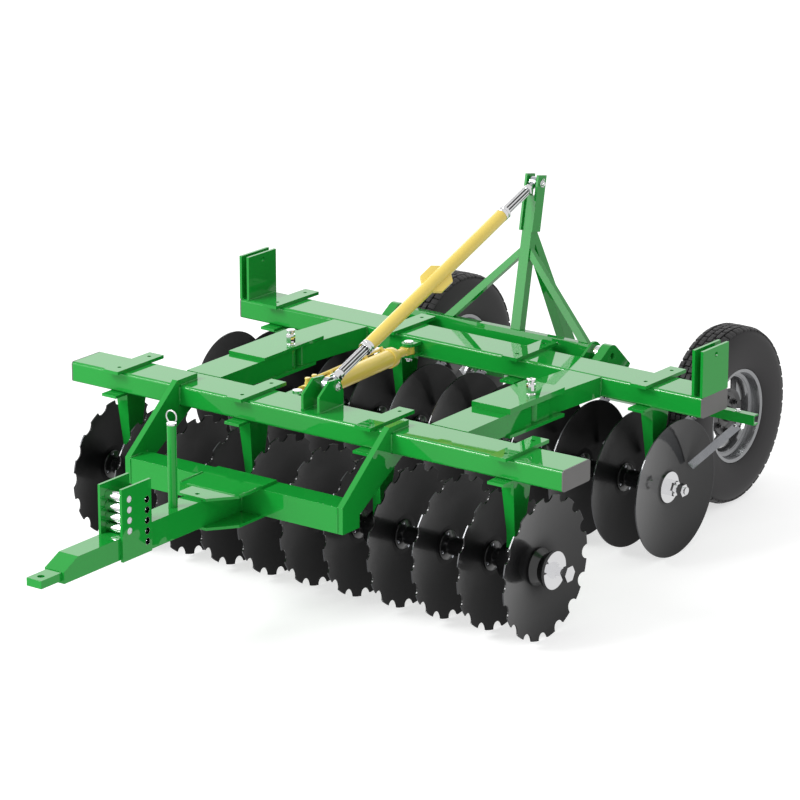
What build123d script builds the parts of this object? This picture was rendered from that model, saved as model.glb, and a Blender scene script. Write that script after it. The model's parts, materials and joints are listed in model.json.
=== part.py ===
"""Trailed disc harrow: a notched front gang and a plain rear gang under two beams hinged together."""
import os
from math import cos, hypot, radians, sin, sqrt, tan
from build123d import *

# The middle of the front beam's front face, from the ground point below the whole harrow's middle
front_x = 114.1
front_y = -426.5

# Beams
beam_w = 198.0
beam_h = 91.0
beam_bottom = 682.0
beam_top = beam_bottom + beam_h
beam_corner = 12.0
front_beam_length = 2571.0
end_cap = 6.0

# The rear beam, measured from the front one's middle
rear_x = -41.7
rear_y = 1183.6
rear_turn = 1.42
rear_beam_length = 2533.4

# Standards: the plates that clamp them to a beam, and the legs below
clamp_w = 80.0
clamp_t = 15.0
clamp_front = -40.0
clamp_back = 273.0
clamp_hole_r = 9.0
clamp_hole_y = (20.0, 222.0)
flange_w = 78.0
flange_t = 12.0
flange_front = -55.0
leg_top_w = 62.0
leg_low_w = 40.0
leg_low = 432.0
leg_top_span = (30.0, 165.0)
leg_low_span = (60.0, 130.0)
clamp_step = 675.0

# Gangs
disc_r = 305.0
disc_t = 6.0
dish = 37.0
hub_flat_r = 84.0
notch_count = 16
notch_r = 32.0
notch_depth = 28.0
first_notch = 20.0
disc_count = 11
disc_step = 225.0
furrow_disc_r = 256.0
axis_z = disc_r
shaft_w = 34.0
fit_gap = 0.2
spool_flange_r = 62.0
spool_flange_t = 6.0
spool_cone = 14.0
journal_r = 38.0
running_gap = 0.05
drum_r = 75.0
drum_w = 84.0
ring_r = 56.0
ring_w = 92.0
bell_r = 80.0

# What is threaded on a gang's ends: columns are the radius, the number of sides (none is round) and the length
left_stack = ((80.0, 0, 12.0), (34.6, 6, 26.0), (17.0, 0, 30.0))
front_stack = ((80.0, 0, 12.0), (35.0, 0, 11.0), (30.0, 0, 11.0), (19.0, 0, 30.0), (36.0, 6, 21.0))
rear_stack = ((69.0, 0, 8.0), (35.0, 6, 34.0), (18.0, 0, 15.0), (29.0, 6, 25.0), (17.0, 0, 12.0))

# Front gang: columns are the last disc's rim, the axis behind the beam's face, the last clamp
# and the casting between the last disc and its washer
front_last_rim = 1145.2
front_axis_y = 95.0
front_clamp_inset = 290.5
front_last_clamp = front_beam_length / 2 - front_clamp_inset
front_end_bell = 70.0

# Rear gang, measured along its own beam
rear_last_rim = 1076.4
rear_axis_y = 102.0
rear_clamp_inset = 301.7
rear_last_clamp = rear_beam_length / 2 - rear_clamp_inset

# The drawbar's cross tube, arms and gussets
cross_front = -338.0
cross_back = -223.0
cross_z = (425.0, 539.0)
arm_t = 27.0
arm_outer = (-706.0, 440.0)
arm_lip = (-15.0, 121.0)
arm_lip_top = 800.0
arm_back = 124.0
arm_foot_z = 480.0
gusset_t = 12.0
gusset_half = 155.0
gusset_neck_half = 68.0
gusset_shoulder = -487.0
gusset_front = -596.0
gusset_inset = 9.0
gusset_hole = (-565.0, 10.0)

# Drawbar, clevis and tongue
drawbar_x = -133.0
drawbar_w = 100.0
drawbar_front = -1000.0
clevis_t = 12.0
clevis_span = (-1116.0, -933.0)
clevis_top = 731.0
hole_step = 44.5
hole_r = 15.0
spacer_r = 19.0
front_holes = (-1070.0, 546.0, 4)
rear_holes = (-960.0, 471.5, 5)
tongue_z = (434.0, 525.0)
tongue_back = -1000.5
tongue_shoulder = -1373.0
tongue_nose = -1460.0
tongue_nose_z = 483.0
hitch_w = 76.0
hitch_z = (446.0, 480.0)
hitch_front = -1582.0
hitch_pin_y = -1540.0
hitch_pin_r = 15.0

# The post that holds hoses off the ground
post_y = -722.0
post_r = 19.5
post_top = 889.0
post_cap_t = 8.0
post_cap_r = 20.5
ring_wire_r = 3.0
post_ring_r = 26.0

# Rails between the beams: the front ones stand still, the rear ones turn with the rear beam
rail_play = 1.0
left_rail = (-799.0, -614.0, 706.0)
right_rail = (499.0, 684.0, 662.0)
left_plate_x = (-805.0, -606.0)
left_plate_y = (498.0, 925.0)
left_plate_t = 14.0
left_under_y = 867.0
right_plate_x = (499.0, 695.0)
right_plate_shift = 14.0
right_plate_y = (490.0, 879.0)
right_plate_t = 25.0
right_under_t = 14.0
rear_rail_w = 188.0
left_rear_rail = (-620.0, -436.0, 5.1)
right_rear_rail = (655.0, -383.0, 3.7)
hinge_at = (650.0, 710.0)
stop_at = (-640.0, 730.0)
pin_r = 19.0
pin_head_r = 24.0
pin_head_t = 12.0
pin_above = 70.0
eye_r = 32.0
eye_neck = 90.0

# The cylinder that sets the angle between the gangs
ram_z = 727.0
ram_front = (-250.0, 265.0)
ram_rear = (-292.0, 1135.0)
ram_pin_r = 12.5
ram_eye_r = 26.0
ram_eye_t = 34.0
ram_eye_slack = 0.6
ram_eye_neck = 39.0
ram_pin_head = (20.5, 7.0)
barrel_r = 40.0
barrel_start = 52.0
ram_tail = 136.0
barrel_bore_r = 26.0
barrel_base = 10.0
rod_start = 30.0
gland_r = 33.0
gland_t = 24.0
rod_r = 20.0
ram_shank = 42.0
ram_lug_t = 14.0
ram_lug_gap = 1.0
ram_lug_w = 64.0
port_r = 11.0
port_h = 34.0
port_at = (78.0, 130.0)

# Rockshaft, arms and axle
rock_y = 1515.0
rock_z = 750.0
rock_w = 70.0
rock_lean = 11.0
rock_mid = -60.0
rock_journal_r = 30.0
journal_hole = (14.0, 25.0)
housing_start = 552.0
housing_t = 45.0
journal_length = 48.0
ear_t = 12.0
rock_gap = 2.5
housing_span = (housing_start, housing_start + housing_t)
ear_span = (housing_start - journal_length - ear_t, housing_start - journal_length)
rock_half = ear_span[0] - rock_gap
ear_r = 50.0
ear_front = ((-26.0, 42.7), (-88.0, 5.0))
ear_tail = ((-40.0, -66.0), (125.0, -95.0), (150.0, -70.0), (34.0, 36.7))
wheel_axis = (2030.0, 405.0)
arm_x = (-300.0, 300.0)
lift_arm_w = 60.0
lift_arm_h = 90.0
arm_root = 5.0
axle_w = 80.0
axle_x = (-560.0, 680.0)
hub_r = 62.0
stub_r = 28.0
stub_reach = 30.0

# Wheels
wheel_x = {"left": -691.0, "right": 809.0}
rim_w = 140.0
rim_t = 5.0
bead_r = 203.0
bead_gap = 1.0
flange_r = 216.0
wheel_disc_t = 8.0
hub_half = 30.0

# A wheel's outlines: columns are the radius and the distance from its middle plane
tyre_side = ((217.0, 72.0), (243.0, 84.0), (293.0, 92.0), (345.0, 92.0), (391.0, 76.0), (405.0, 42.0))
rim_well = ((197.0, 30.0), (173.0, 20.0))

# Mast, its stays and the turnbuckle
mast_x = 30.0
mast_w = 50.0
mast_d = 44.0
mast_top = 640.0
cheek_t = 11.0
cheek_low = 480.0
cheek_over = 37.0
cheek_d = 65.0
mast_pin_up = 697.0
mast_pin_r = 12.5
pin_proud = 8.0
stay_w = 50.0
stay_t = 30.0
stay_up = 383.0
stay_foot_x = (-340.0, 390.0)
back_stay_w = 60.0
back_stay_up = 455.0
back_stay_foot = ((-55.0, 30.0), (15.0, 52.0))
ears_x = (-38.0, 46.0)
ears_t = 12.0
ears_pin = (155.0, 860.0)
ears_outline = ((30.0, 70.0), (102.0, 124.0), (176.0, 118.0), (198.0, 60.0))
link_r = 30.0
link_play = 0.3
link_head = 300.0
link_tail = 275.0
link_rod_r = 17.5
link_grip = 160.0
link_eye_r = 27.0
link_eye_t = 30.0
link_eye_slack = 3.5
link_collar_r = 27.0
link_collar_l = 60.0
ball_r = 20.0
socket_r = 26.0
socket_w = 24.0
link_front_eye_r = 34.0
flag_size = (110.0, 205.0)
flag_corner = 35.0
flag_t = 14.0

# Scrapers behind the rear discs
scraper_span = (-1240.0, 1355.0)
scraper_v = (272.0, 307.0)
scraper_z = (600.0, 645.0)
hanger_lap = 40.0
channel_t = 6.0
blade_w = 36.0
blade_t = 6.0

# A blade's root and tip: from its disc's rim plane, behind the beam's face and above the ground
blade_root = (187.0, 290.0, 578.0)
blade_tip = (-8.0, 228.0, 373.0)

# Lugs at the rear beam's ends
lug_t = 13.0
lug_pitch = 42.0
lug_h = 205.0
lug_hole_r = 11.0
lug_holes = {-1: (103.0, 30.0), 1: (101.0, 33.0)}

front = Plane(origin=(front_x, front_y, 0))
turn = radians(rear_turn)
rear = Plane(
    origin=(front_x + rear_x, front_y + rear_y, 0),
    x_dir=(cos(turn), -sin(turn), 0),
    z_dir=(0, 0, 1),
)


def across(base, x):
    """Upright plane across a beam: the sketch's axes point back and up, and it extrudes to the right."""
    return Plane(origin=base.from_local_coords((x, 0, 0)), x_dir=base.y_dir, z_dir=base.x_dir)


def facing(base, y):
    """Upright plane along a beam: the sketch's axes point right and up, and it extrudes to the front."""
    return Plane(origin=base.from_local_coords((0, y, 0)), x_dir=base.x_dir, z_dir=-base.y_dir)


def level(base, z):
    """Level plane at a height: the sketch's axes point right and back, and it extrudes upwards."""
    return Plane(origin=base.from_local_coords((0, 0, z)), x_dir=base.x_dir, z_dir=(0, 0, 1))


def middle(a, b):
    """Half way between two values."""
    return (a + b) / 2


os.makedirs("parts", exist_ok=True)


def keep(piece, label):
    """Label a finished piece and write its file."""
    piece.part.label = label
    export_step(piece.part, f"parts/{label}.step")


def beam(base, length):
    """A rectangular beam between its end caps."""
    with BuildPart() as piece:
        with BuildSketch(across(base, -length / 2 + end_cap)):
            with Locations((beam_w / 2, middle(beam_bottom, beam_top))):
                RectangleRounded(beam_w, beam_h, beam_corner)
        extrude(amount=length - 2 * end_cap)
    return piece


def beam_ends(base, length):
    """The two flat plates that close a beam."""
    with BuildPart() as piece:
        for x in (-length / 2, length / 2 - end_cap):
            with BuildSketch(across(base, x)):
                with Locations((beam_w / 2, middle(beam_bottom, beam_top))):
                    RectangleRounded(beam_w, beam_h, beam_corner)
            extrude(amount=end_cap)
    return piece


def clamp_places(last):
    """Where the four standards stand along a beam."""
    return [last - i * clamp_step for i in range(4)]


def clamps(base, last):
    """The flat plates on top of a beam, one over each standard."""
    with BuildPart() as piece:
        with BuildSketch(level(base, beam_top)):
            for x in clamp_places(last):
                with Locations((x, middle(clamp_front, clamp_back))):
                    Rectangle(clamp_w, clamp_back - clamp_front)
                with Locations(*[(x, y) for y in clamp_hole_y]):
                    Circle(clamp_hole_r, mode=Mode.SUBTRACT)
        extrude(amount=clamp_t)
    return piece


def standards(base, last, axis_y):
    """Legs that taper down to the bearings, each with the flange that is bolted under its beam."""
    flange_low = beam_bottom - flange_t
    with BuildPart() as piece:
        for x in clamp_places(last):
            with BuildSketch(across(base, x)):
                with BuildLine():
                    Polyline(
                        (leg_top_span[0], flange_low),
                        (leg_top_span[1], flange_low),
                        (leg_low_span[1], leg_low),
                        (leg_low_span[1], axis_z),
                        (leg_low_span[0], axis_z),
                        (leg_low_span[0], leg_low),
                        close=True,
                    )
                make_face()
            extrude(amount=leg_top_w / 2, both=True)
        with BuildSketch(facing(base, 0)):
            for x in clamp_places(last):
                with BuildLine():
                    Polyline(
                        (x - leg_top_w / 2, flange_low),
                        (x + leg_top_w / 2, flange_low),
                        (x + leg_low_w / 2, leg_low),
                        (x + leg_low_w / 2, axis_z),
                        (x - leg_low_w / 2, axis_z),
                        (x - leg_low_w / 2, leg_low),
                        close=True,
                    )
                make_face()
        extrude(amount=beam_w, both=True, mode=Mode.INTERSECT)
        with BuildSketch(level(base, flange_low)):
            for x in clamp_places(last):
                with Locations((x, middle(flange_front, clamp_back))):
                    Rectangle(flange_w, clamp_back - flange_front)
        extrude(amount=flange_t)
        with BuildSketch(across(base, last - 3 * clamp_step - clamp_w)):
            with Locations((axis_y, axis_z)):
                Circle(drum_r)
        extrude(amount=3 * clamp_step + 2 * clamp_w, mode=Mode.SUBTRACT)
    return piece


def bearings(base, last, axis_y):
    """Bearing drums with a raised ring on each side, bored for the spools' journals."""
    with BuildPart() as piece:
        for x in clamp_places(last):
            with BuildSketch(across(base, x)):
                with Locations((axis_y, axis_z)):
                    Circle(drum_r)
            extrude(amount=drum_w / 2, both=True)
            with BuildSketch(across(base, x)):
                with Locations((axis_y, axis_z)):
                    Circle(ring_r)
            extrude(amount=ring_w / 2, both=True)
        with BuildSketch(across(base, last - 3 * clamp_step - clamp_w)):
            with Locations((axis_y, axis_z)):
                Circle(journal_r + running_gap)
        extrude(amount=3 * clamp_step + 2 * clamp_w, mode=Mode.SUBTRACT)
    return piece


def hubs(last, count):
    """The planes of the discs' hollow sides at the hub, from the last disc at the right to the first."""
    return [last - dish - i * disc_step for i in range(count)]


def dish_arc(hub, radius, out):
    """Corners of one side of a dished disc: its edge, a point half way in, and the flat about the hub."""
    half = middle(radius, hub_flat_r)
    depth = dish * (radius / disc_r) ** 2
    return (radius, hub + out + depth), (half, hub + out + depth * (half / radius) ** 2), (hub_flat_r, hub + out)


def discs(base, last, axis_y, radii, notched):
    """Dished discs with a square hole, hollow to the right, with or without notches in the rim."""
    with BuildPart() as piece:
        for hub, radius in zip(hubs(last, len(radii)), radii):
            axle = Plane(
                origin=base.from_local_coords((0, axis_y, axis_z)), x_dir=(0, 0, 1), z_dir=base.y_dir
            )
            face = dish_arc(hub, radius, 0)
            back = dish_arc(hub, radius, -disc_t)
            with BuildSketch(axle):
                with BuildLine():
                    ThreePointArc(face[2], face[1], face[0])
                    Line(face[0], back[0])
                    ThreePointArc(back[0], back[1], back[2])
                    Line(back[2], (0, hub - disc_t))
                    Line((0, hub - disc_t), (0, hub))
                    Line((0, hub), face[2])
                make_face()
            revolve(axis=Axis(axle.origin, base.x_dir))
        with BuildSketch(across(base, last - len(radii) * disc_step)):
            with Locations((axis_y, axis_z)):
                Rectangle(shaft_w + 2 * fit_gap, shaft_w + 2 * fit_gap)
                if notched:
                    reach = disc_r - notch_depth + notch_r
                    with PolarLocations(reach, notch_count, start_angle=first_notch):
                        Circle(notch_r)
        extrude(amount=(len(radii) + 1) * disc_step, mode=Mode.SUBTRACT)
    return piece


def spools(base, last, axis_y, count, bell):
    """Cast spools between the discs, each with a long journal, and a shorter bell past the last disc."""
    with BuildPart() as piece:
        axle = Plane(origin=base.from_local_coords((0, axis_y, axis_z)), x_dir=(0, 0, 1), z_dir=base.y_dir)
        for hub in hubs(last, count)[:-1]:
            start = hub - disc_step
            end = hub - disc_t
            with BuildSketch(axle):
                with BuildLine():
                    Polyline(
                        (0, start),
                        (spool_flange_r, start),
                        (spool_flange_r, start + spool_flange_t),
                        (journal_r, start + spool_flange_t + spool_cone),
                        (journal_r, end - spool_flange_t - spool_cone),
                        (spool_flange_r, end - spool_flange_t),
                        (spool_flange_r, end),
                        (0, end),
                        close=True,
                    )
                make_face()
            revolve(axis=Axis(axle.origin, base.x_dir))
        if bell > 0:
            start = last - dish
            with BuildSketch(axle):
                with BuildLine():
                    Polyline(
                        (0, start),
                        (bell_r, start),
                        (bell_r, start + spool_flange_t),
                        (spool_flange_r, start + bell / 2),
                        (bell_r, start + bell - spool_flange_t),
                        (bell_r, start + bell),
                        (0, start + bell),
                        close=True,
                    )
                make_face()
            revolve(axis=Axis(axle.origin, base.x_dir))
        with BuildSketch(across(base, last - count * disc_step)):
            with Locations((axis_y, axis_z)):
                Rectangle(shaft_w + 2 * fit_gap, shaft_w + 2 * fit_gap)
        extrude(amount=(count + 1) * disc_step, mode=Mode.SUBTRACT)
    return piece


def gang_shaft(base, last, axis_y, count, bell, right_stack):
    """The square bar that threads a gang together, with washers and nuts stacked on both ends."""
    right = last - dish + bell
    left = hubs(last, count)[-1] - disc_t
    with BuildPart() as piece:
        with BuildSketch(across(base, left)):
            with Locations((axis_y, axis_z)):
                Rectangle(shaft_w, shaft_w)
        extrude(amount=right - left)
        for face, way, stack in ((left, -1, left_stack), (right, 1, right_stack)):
            for radius, sides, length in stack:
                with BuildSketch(across(base, face)):
                    with Locations((axis_y, axis_z)):
                        if sides:
                            RegularPolygon(radius, sides)
                        else:
                            Circle(radius)
                extrude(amount=way * length)
                face += way * length
    return piece


# The two beams with what is clamped to them
for name, base, length, last in (
    ("front", front, front_beam_length, front_last_clamp),
    ("rear", rear, rear_beam_length, rear_last_clamp),
):
    keep(beam(base, length), f"{name}_beam")
    keep(beam_ends(base, length), f"{name}_beam_ends")
    keep(clamps(base, last), f"{name}_clamps")

# The two gangs, their legs and bearings: the rear one ends at the left in a smaller furrow disc
all_alike = (disc_r,) * disc_count
for name, base, clamp, rim, axis_y, radii, notched, bell, stack in (
    ("front", front, front_last_clamp, front_last_rim, front_axis_y, all_alike, True, front_end_bell, front_stack),
    ("rear", rear, rear_last_clamp, rear_last_rim, rear_axis_y, (*all_alike, furrow_disc_r), False, 0.0, rear_stack),
):
    keep(standards(base, clamp, axis_y), f"{name}_standards")
    keep(bearings(base, clamp, axis_y), f"{name}_bearings")
    keep(discs(base, rim, axis_y, radii, notched), f"{name}_discs")
    keep(spools(base, rim, axis_y, len(radii), bell), f"{name}_spools")
    keep(gang_shaft(base, rim, axis_y, len(radii), bell, stack), f"{name}_gang_shaft")

# Cross tube between the two arms, and the gussets that tie it to the drawbar
with BuildPart() as cross_tube:
    with BuildSketch(across(front, arm_outer[0] + arm_t)):
        with Locations((middle(cross_front, cross_back), middle(*cross_z))):
            Rectangle(cross_back - cross_front, cross_z[1] - cross_z[0])
    extrude(amount=arm_outer[1] - arm_outer[0] - 2 * arm_t)
keep(cross_tube, "cross_tube")

with BuildPart() as frame_arms:
    for x in (arm_outer[0], arm_outer[1] - arm_t):
        with BuildSketch(across(front, x)):
            with BuildLine():
                Polyline(
                    (cross_front, cross_z[0]),
                    (cross_front, cross_z[1]),
                    (arm_lip[0], arm_lip_top),
                    (arm_lip[1], arm_lip_top),
                    (arm_lip[1], beam_top),
                    (0.0, beam_top),
                    (0.0, beam_bottom),
                    (arm_back, beam_bottom),
                    (cross_back, arm_foot_z),
                    (cross_back, cross_z[0]),
                    close=True,
                )
            make_face()
        extrude(amount=arm_t)
keep(frame_arms, "frame_arms")

with BuildPart() as gussets:
    for z in (cross_z[0] - gusset_t, cross_z[1]):
        with BuildSketch(level(front, z)):
            with BuildLine():
                Polyline(
                    (drawbar_x - gusset_half, cross_back - gusset_inset),
                    (drawbar_x - gusset_half, gusset_shoulder),
                    (drawbar_x - gusset_neck_half, gusset_front),
                    (drawbar_x + gusset_neck_half, gusset_front),
                    (drawbar_x + gusset_half, gusset_shoulder),
                    (drawbar_x + gusset_half, cross_back - gusset_inset),
                    close=True,
                )
            make_face()
            with Locations((drawbar_x, gusset_hole[0])):
                Circle(gusset_hole[1], mode=Mode.SUBTRACT)
        extrude(amount=gusset_t)
keep(gussets, "gusset_plates")


def side_holes():
    """Sketch places of the height holes on an upright plane at a clevis plate."""
    places = []
    for y, z, count in (front_holes, rear_holes):
        places += [(y, z + i * hole_step) for i in range(count)]
    return places


with BuildPart() as drawbar_tube:
    with BuildSketch(facing(front, cross_front)):
        with Locations((drawbar_x, middle(*cross_z))):
            Rectangle(drawbar_w, cross_z[1] - cross_z[0])
    extrude(amount=cross_front - drawbar_front)
    with BuildSketch(across(front, drawbar_x)):
        with Locations(*side_holes()):
            Circle(hole_r)
    extrude(amount=drawbar_w, both=True, mode=Mode.SUBTRACT)
keep(drawbar_tube, "drawbar_tube")

with BuildPart() as clevis:
    for x in (drawbar_x - drawbar_w / 2 - clevis_t, drawbar_x + drawbar_w / 2):
        with BuildSketch(across(front, x)):
            with Locations((middle(*clevis_span), middle(cross_z[0], clevis_top))):
                Rectangle(clevis_span[1] - clevis_span[0], clevis_top - cross_z[0])
            with Locations(*side_holes()):
                Circle(hole_r, mode=Mode.SUBTRACT)
        extrude(amount=clevis_t)
    for y, z in side_holes():
        if z - spacer_r > (cross_z[1] if y > drawbar_front else tongue_z[1]):
            with BuildSketch(across(front, drawbar_x)):
                with Locations((y, z)):
                    Circle(spacer_r)
                    Circle(hole_r, mode=Mode.SUBTRACT)
            extrude(amount=drawbar_w / 2, both=True)
keep(clevis, "clevis")

with BuildPart() as tongue:
    with BuildSketch(across(front, drawbar_x)):
        with BuildLine():
            Polyline(
                (tongue_back, tongue_z[0]),
                (tongue_back, tongue_z[1]),
                (tongue_shoulder, tongue_z[1]),
                (tongue_nose, tongue_nose_z),
                (tongue_nose, tongue_z[0]),
                close=True,
            )
        make_face()
    extrude(amount=drawbar_w / 2, both=True)
    with BuildSketch(facing(front, tongue_shoulder)):
        with Locations((drawbar_x, middle(*hitch_z))):
            Rectangle(hitch_w, hitch_z[1] - hitch_z[0])
    extrude(amount=tongue_shoulder - tongue_nose, mode=Mode.SUBTRACT)
keep(tongue, "tongue")

with BuildPart() as hitch_bar:
    with BuildSketch(facing(front, tongue_shoulder)):
        with Locations((drawbar_x, middle(*hitch_z))):
            Rectangle(hitch_w, hitch_z[1] - hitch_z[0])
    extrude(amount=tongue_shoulder - hitch_front)
    with BuildSketch(level(front, hitch_z[0])):
        with Locations((drawbar_x, hitch_pin_y)):
            Circle(hitch_pin_r)
    extrude(amount=hitch_z[1] - hitch_z[0], mode=Mode.SUBTRACT)
keep(hitch_bar, "hitch_bar")

# Post with a cap and a ring that hoses are led through
with BuildPart() as hose_post:
    with BuildSketch(level(front, cross_z[1])):
        with Locations((drawbar_x, post_y)):
            Circle(post_r)
    extrude(amount=post_top - cross_z[1])
keep(hose_post, "hose_post")

with BuildPart() as post_ring:
    with BuildSketch(level(front, post_top)):
        with Locations((drawbar_x, post_y)):
            Circle(post_cap_r)
    extrude(amount=post_cap_t)
    ring_mid = post_top + post_cap_t + post_ring_r
    with BuildSketch(across(front, drawbar_x)):
        with Locations((post_y, ring_mid - post_ring_r)):
            Circle(ring_wire_r)
    revolve(axis=Axis(front.from_local_coords((drawbar_x, post_y, ring_mid)), (0, 1, 0)))
keep(post_ring, "post_ring")

# Rails on the front beam
with BuildPart() as front_rails:
    for x0, x1, end in (left_rail, right_rail):
        with BuildSketch(level(front, beam_bottom)):
            with Locations((middle(x0, x1), middle(beam_w, end))):
                Rectangle(x1 - x0, end - beam_w)
        extrude(amount=beam_h)
keep(front_rails, "front_rails")


def right_plate_outline():
    """Outline of the right plates, which lean outwards towards the back."""
    x0, x1 = right_plate_x
    y0, y1 = right_plate_y
    return (x0, y0), (x1, y0), (x1 + right_plate_shift, y1), (x0 + right_plate_shift, y1)


with BuildPart() as left_guide_plates:
    for z, thick, y1 in (
        (beam_top, left_plate_t, left_plate_y[1]),
        (beam_bottom - left_plate_t, left_plate_t, left_under_y),
    ):
        with BuildSketch(level(front, z)):
            with Locations((middle(*left_plate_x), middle(left_plate_y[0], y1))):
                Rectangle(left_plate_x[1] - left_plate_x[0], y1 - left_plate_y[0])
            with Locations(stop_at):
                Circle(pin_r + running_gap, mode=Mode.SUBTRACT)
        extrude(amount=thick)
keep(left_guide_plates, "left_guide_plates")

with BuildPart() as right_hinge_plates:
    for z, thick in ((beam_top, right_plate_t), (beam_bottom - right_under_t, right_under_t)):
        with BuildSketch(level(front, z)):
            with BuildLine():
                Polyline(*right_plate_outline(), close=True)
            make_face()
            with Locations(hinge_at):
                Circle(pin_r + running_gap, mode=Mode.SUBTRACT)
        extrude(amount=thick)
keep(right_hinge_plates, "right_hinge_plates")


def standing_pin(place, low, plate_top):
    """A headed pin that stands up through its plates, with a collar below its cap."""
    with BuildPart() as piece:
        with BuildSketch(level(front, low)):
            with Locations(place):
                Circle(pin_r)
        extrude(amount=plate_top + pin_above - low)
        with BuildSketch(level(front, plate_top + pin_above - pin_head_t)):
            with Locations(place):
                Circle(pin_head_r)
        extrude(amount=pin_head_t)
        with BuildSketch(level(front, plate_top)):
            with Locations(place):
                Circle(pin_head_r)
        extrude(amount=pin_head_t)
    return piece


keep(standing_pin(hinge_at, beam_bottom - right_under_t, beam_top + right_plate_t), "hinge_pin")
keep(standing_pin(stop_at, beam_bottom - left_plate_t, beam_top + left_plate_t), "stop_pin")


def slanted_rail(middle_x, front_end, slant, nose):
    """A rail from the rear beam's front face forwards, slanted outwards, with a rounded or square nose."""
    low = beam_bottom + rail_play
    half = rear_rail_w / 2
    lead = front_end * tan(radians(slant))
    with BuildPart() as piece:
        with BuildSketch(level(rear, low)):
            with BuildLine():
                Polyline(
                    (middle_x - half, 0),
                    (middle_x + half, 0),
                    (middle_x + half + lead, front_end),
                    (middle_x - half + lead, front_end),
                    close=True,
                )
            make_face()
            fillet(vertices().group_by(Axis.Y)[0], nose)
        extrude(amount=beam_h - 2 * rail_play)
    return piece


keep(slanted_rail(*left_rear_rail, 30.0), "left_rear_rail")

with BuildPart() as hinge_rail:
    low = beam_bottom + rail_play
    with BuildSketch(level(rear, low)):
        middle_x, front_end, slant = right_rear_rail
        lead = front_end * tan(radians(slant))
        half = rear_rail_w / 2
        with BuildLine():
            Polyline(
                (middle_x - half, 0),
                (middle_x + half, 0),
                (middle_x + half + lead, front_end),
                (middle_x - half + lead, front_end),
                close=True,
            )
        make_face()
    extrude(amount=beam_h - 2 * rail_play)
    with BuildSketch(level(front, low)):
        with Locations(hinge_at):
            Circle(eye_r)
        with Locations((hinge_at[0], hinge_at[1] + eye_neck / 2)):
            Rectangle(2 * eye_r, eye_neck)
        with Locations(hinge_at):
            Circle(pin_r + running_gap, mode=Mode.SUBTRACT)
    extrude(amount=beam_h - 2 * rail_play)
    with BuildSketch(level(front, low)):
        with Locations(hinge_at):
            Circle(pin_r + running_gap)
    extrude(amount=beam_h, mode=Mode.SUBTRACT)
keep(hinge_rail, "hinge_rail")

# Lugs at both ends of the rear beam
with BuildPart() as end_lugs:
    for end in (-1, 1):
        for inset in (0, lug_pitch):
            x = end * (rear_beam_length / 2 - inset) - (lug_t if end > 0 else 0)
            with BuildSketch(across(rear, x)):
                with Locations((beam_w / 2, beam_top + lug_h / 2)):
                    Rectangle(beam_w, lug_h)
                with Locations((lug_holes[end][0], beam_top + lug_h - lug_holes[end][1])):
                    Circle(lug_hole_r, mode=Mode.SUBTRACT)
            extrude(amount=lug_t)
keep(end_lugs, "rear_end_lugs")

# Scraper bar on hangers below the flanges, and a slanted blade for each rear disc
with BuildPart() as scraper_bar:
    with BuildSketch(across(rear, scraper_span[0])):
        with Locations((middle(*scraper_v), middle(*scraper_z))):
            Rectangle(scraper_v[1] - scraper_v[0], scraper_z[1] - scraper_z[0])
        with Locations((middle(*scraper_v) + channel_t, middle(*scraper_z))):
            Rectangle(
                scraper_v[1] - scraper_v[0], scraper_z[1] - scraper_z[0] - 2 * channel_t, mode=Mode.SUBTRACT
            )
    extrude(amount=scraper_span[1] - scraper_span[0])
    with BuildSketch(level(rear, scraper_z[1])):
        for x in clamp_places(rear_last_clamp):
            with Locations((x, scraper_v[0] - flange_w / 2)):
                Rectangle(flange_w, flange_w + hanger_lap)
    extrude(amount=beam_bottom - flange_t - scraper_z[1])
keep(scraper_bar, "scraper_bar")

with BuildPart() as scraper_blades:
    for hub in hubs(rear_last_rim, disc_count):
        rim = hub + dish
        root = rear.from_local_coords((rim + blade_root[0], *blade_root[1:]))
        run = rear.from_local_coords((rim + blade_tip[0], *blade_tip[1:])) - root
        with BuildSketch(Plane(origin=root, x_dir=run, z_dir=run.cross(Vector(0, 0, 1)))):
            with Locations((run.length / 2, 0)):
                Rectangle(run.length, blade_w)
        extrude(amount=blade_t / 2, both=True)
        with BuildSketch(across(rear, rim + blade_root[0])):
            with Locations((blade_root[1], middle(scraper_z[0], blade_root[2]))):
                Rectangle(blade_w, scraper_z[0] - blade_root[2])
        extrude(amount=blade_t / 2, both=True)
keep(scraper_blades, "scraper_blades")

# Brackets on the rear beam's back that carry the rockshaft: an ear and a wider housing at each end
with BuildPart() as rock_brackets:
    for side in (-1, 1):
        for span in (ear_span, housing_span):
            with BuildSketch(across(front, rock_mid + side * span[0])):
                with Locations((rock_y, rock_z)):
                    Circle(ear_r)
                with BuildLine():
                    Polyline(
                        *[(rock_y + back, rock_z + up) for back, up in ear_front],
                        (rear_y + beam_w / 2, rock_z + ear_front[-1][1]),
                        (rear_y + beam_w / 2, rock_z + ear_tail[0][1]),
                        *[(rock_y + back, rock_z + up) for back, up in ear_tail],
                        close=True,
                    )
                make_face()
            extrude(amount=side * (span[1] - span[0]))
    with BuildSketch(across(front, rock_mid)):
        with Locations((rock_y, rock_z)):
            Circle(rock_journal_r + running_gap)
    extrude(amount=housing_span[1], both=True, mode=Mode.SUBTRACT)
    with BuildSketch(level(rear, beam_bottom)):
        with Locations((0, beam_w / 2)):
            Rectangle(rear_beam_length, beam_w)
    extrude(amount=beam_h, mode=Mode.SUBTRACT)
keep(rock_brackets, "rock_brackets")

rock = Plane(
    origin=front.from_local_coords((0, rock_y, rock_z)),
    x_dir=(0, cos(radians(rock_lean)), -sin(radians(rock_lean))),
    z_dir=(1, 0, 0),
)


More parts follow.
